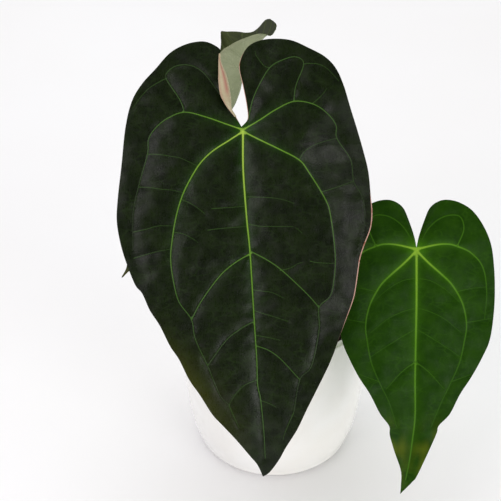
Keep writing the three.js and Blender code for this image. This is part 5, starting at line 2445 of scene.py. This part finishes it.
@dataclass
class Studio:
    """A pale floor, soft light from above and the left, and the camera."""

    lens: float = 85.0
    sensor: float = 36.0
    near: float = 0.05
    floor_reach: float = 40000.0
    floor_drop: float = 0.3
    room: float = 0.62
    mirrored: float = 0.035
    backdrop: float = 0.92
    panels: tuple[Panel, ...] = (
        Panel("overhead", (-0.3, 1.3, 2.6), (0.0, 0.5, 0.0), (4.4, 3.6), 0.9),
        Panel("window", (-0.96, -1.17, 1.22), (0.02, -0.06, 0.22), (0.8, 1.3), 2.6, tint=(1.0, 0.93, 1.0)),
        Panel("reflector", (1.3, -1.5, 0.5), (0.05, 0.0, 0.08), (1.2, 0.9), 4.2, 0.0),
    )

    def build(self) -> None:
        """Builds the studio."""
        self.floor()
        self.world()
        for panel in self.panels:
            panel.build()
        camera = bpy.data.cameras.new("camera")
        camera.lens = self.lens
        camera.sensor_width = self.sensor
        camera.clip_start = self.near
        eye = bpy.data.objects.new("camera", camera)
        eye.location = EYE * MM
        eye.rotation_euler = Vector(SIGHT).to_track_quat("-Z", "Y").to_euler()
        bpy.context.scene.collection.objects.link(eye)
        bpy.context.scene.camera = eye
        bpy.context.scene.view_settings.view_transform = "Standard"

    def floor(self) -> None:
        """Builds the floor."""
        board = ShaderBoard("pale_floor")
        place = board.object_place()
        body = board.blend(board.cloudy(place, 1.5).faded(0.3, 0.7), srgb(246, 246, 247), srgb(243, 242, 242))
        finish = board.finished(Base_Color=body, Roughness=0.7, Specular_IOR_Level=0.2)
        square = np.array([(-1, -1, 0), (1, -1, 0), (1, 1, 0), (-1, 1, 0)])
        corners = square * self.floor_reach - (0, 0, self.floor_drop)
        faces = np.array([(0, 1, 2), (0, 2, 3)])
        sheet = Sheet(corners, faces, corners[:, :2] / FLAT_UNIT, {}, np.zeros(2, int))
        mesh_piece("floor", sheet, [finish])

    def world(self) -> None:
        """Builds the room's even light, with a pale backdrop above the floor's edge."""
        world = bpy.data.worlds.new("room")
        world.use_nodes = True
        board = Board(world.node_tree)
        board.tree.nodes.clear()
        seen = board.node("ShaderNodeLightPath", output="Is Camera Ray")
        shone = board.node("ShaderNodeLightPath", output="Is Glossy Ray")
        light = seen * (self.backdrop - self.room) + shone * (self.mirrored - self.room) + self.room
        shade = board.node("ShaderNodeBackground", inputs={"Color": (1.0, 1.0, 1.0, 1.0), "Strength": light})
        board.node("ShaderNodeOutputWorld", inputs={"Surface": shade})
        bpy.context.scene.world = world


# The whole plant


LEAF_BACKS = (
    LeafBack("dark_leaf_back", srgb(150, 158, 112), srgb(122, 134, 86), srgb(196, 140, 122)),
    LeafBack("bright_leaf_back", srgb(132, 158, 92), srgb(106, 138, 70), srgb(150, 150, 90)),
    LeafBack("young_leaf_back", srgb(144, 150, 118), srgb(126, 134, 100), srgb(160, 150, 124), ribbed=0.15),
    LeafBack("dark_leaf_rim", srgb(50, 54, 26), srgb(38, 42, 18), srgb(206, 160, 140)),
    LeafBack("bright_leaf_rim", srgb(80, 96, 30), srgb(60, 80, 20), srgb(80, 96, 30)),
    LeafBack("curled_margin", srgb(180, 172, 138), srgb(162, 152, 120), srgb(158, 102, 88), edged=0.35),
)
STALK_COLOURS = (srgb(84, 112, 46), srgb(108, 128, 62), srgb(132, 146, 70), srgb(104, 84, 54))
WHITE_COLOURS = (srgb(188, 184, 174), srgb(214, 211, 203), srgb(232, 230, 224))


@dataclass(frozen=True)
class Plant:
    """The stalks, blades, rootstock and sheaths with their finishes; a sheath has a bearing and a height."""

    sheaths: tuple[Flat, ...] = ((262, 36), (22, 30), (178, 33))

    def stalks(self) -> list[Stalk]:
        """The four stalks.

        Returns:
            The stalks, in the order of their numbers.
        """
        large = [(-6.5, -7, 160), (-12, -4, 200), (-19, 3, 240), *behind_blade(LargeBlade.seat)]
        second = [(14, -9, 150), (38, -14, 167), (66, -18, 177), *behind_blade(SecondBlade.seat)]
        return [
            Stalk(1, (-4.7, -4.8), tuple(large)),
            Stalk(2, (4.8, -4.7), tuple(second)),
            Stalk(3, (4.8, 4.8), ((3, 18, 165), (-12, 41, 200), (-30, 60, 221), (-44.8, 71.4, 235.2))),
            Stalk(4, (-4.7, 4.7), ((-10, 12, 154), (-26, 25, 173), (-46, 36, 180), (-64, 42.4, 192.7))),
        ]

    def blades(self) -> None:
        """The four blades with their faces, backs and rims."""
        dark = LeafFace("dark_leaf_face", DARK_PALETTE).material()
        bright = LeafFace("bright_leaf_face", BRIGHT_PALETTE).material()
        young = LeafFace("young_leaf_face", YOUNG_PAINTED_BACKLIGHT_PALETTE).material()
        backs = [back.material() for back in LEAF_BACKS]
        dark_back, bright_back, young_back, dark_rim, bright_rim, curled = backs
        LargeBlade().build([dark, dark_back, dark_rim])
        LargeBlade().build_curl([dark, curled, curled])
        SecondBlade().build([bright, bright_back, bright_rim])
        SmallBlade().build([dark, dark_back, dark_rim])
        YoungBlade().build([young, young_back, bright_rim])

    def base(self, tubes: GeometryBoard) -> None:
        """Builds the rootstock, its roots and the sheaths round the stalks' feet.

        Args:
            tubes: the tree that makes the roots and fibres.
        """
        cork = Cork("stem_cork", srgb(72, 66, 36), srgb(110, 106, 62), srgb(150, 132, 98))
        root = Cork("root_skin", srgb(132, 104, 72), srgb(168, 146, 108), srgb(96, 68, 44))
        fibre = Cork("dry_fibre", srgb(132, 96, 60), srgb(186, 152, 108), srgb(120, 84, 52)).material()
        paper = Papery("dry_paper").material()
        Rootstock().build(tubes, cork.material(), root.material())
        for number, (bearing, height) in enumerate(self.sheaths, 1):
            Sheath(number, bearing, height).build(tubes, paper, fibre)

    def build(self) -> None:
        """Builds every piece of the plant."""
        tubes = tube_tree()
        self.blades()
        stalk = StalkSkin("stalk_skin", *STALK_COLOURS).material()
        for part in self.stalks():
            part.build(tubes, stalk)
        self.base(tubes)


def main() -> None:
    """Loads the frame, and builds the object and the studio."""
    logging.basicConfig(level=logging.INFO, format="%(name)s %(message)s")
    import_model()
    pot = Pot()
    pot.build(Glaze("white_glaze").material())
    bark = Chips("bark", srgb(22, 14, 9), srgb(78, 50, 30), srgb(152, 112, 74), 0.9).material()
    white = Chips("white_mineral", *WHITE_COLOURS, 0.2).material()
    PottingMix(pot).build(bark, white)
    Plant().build()
    Studio().build()


if __name__ == "__main__":
    main()
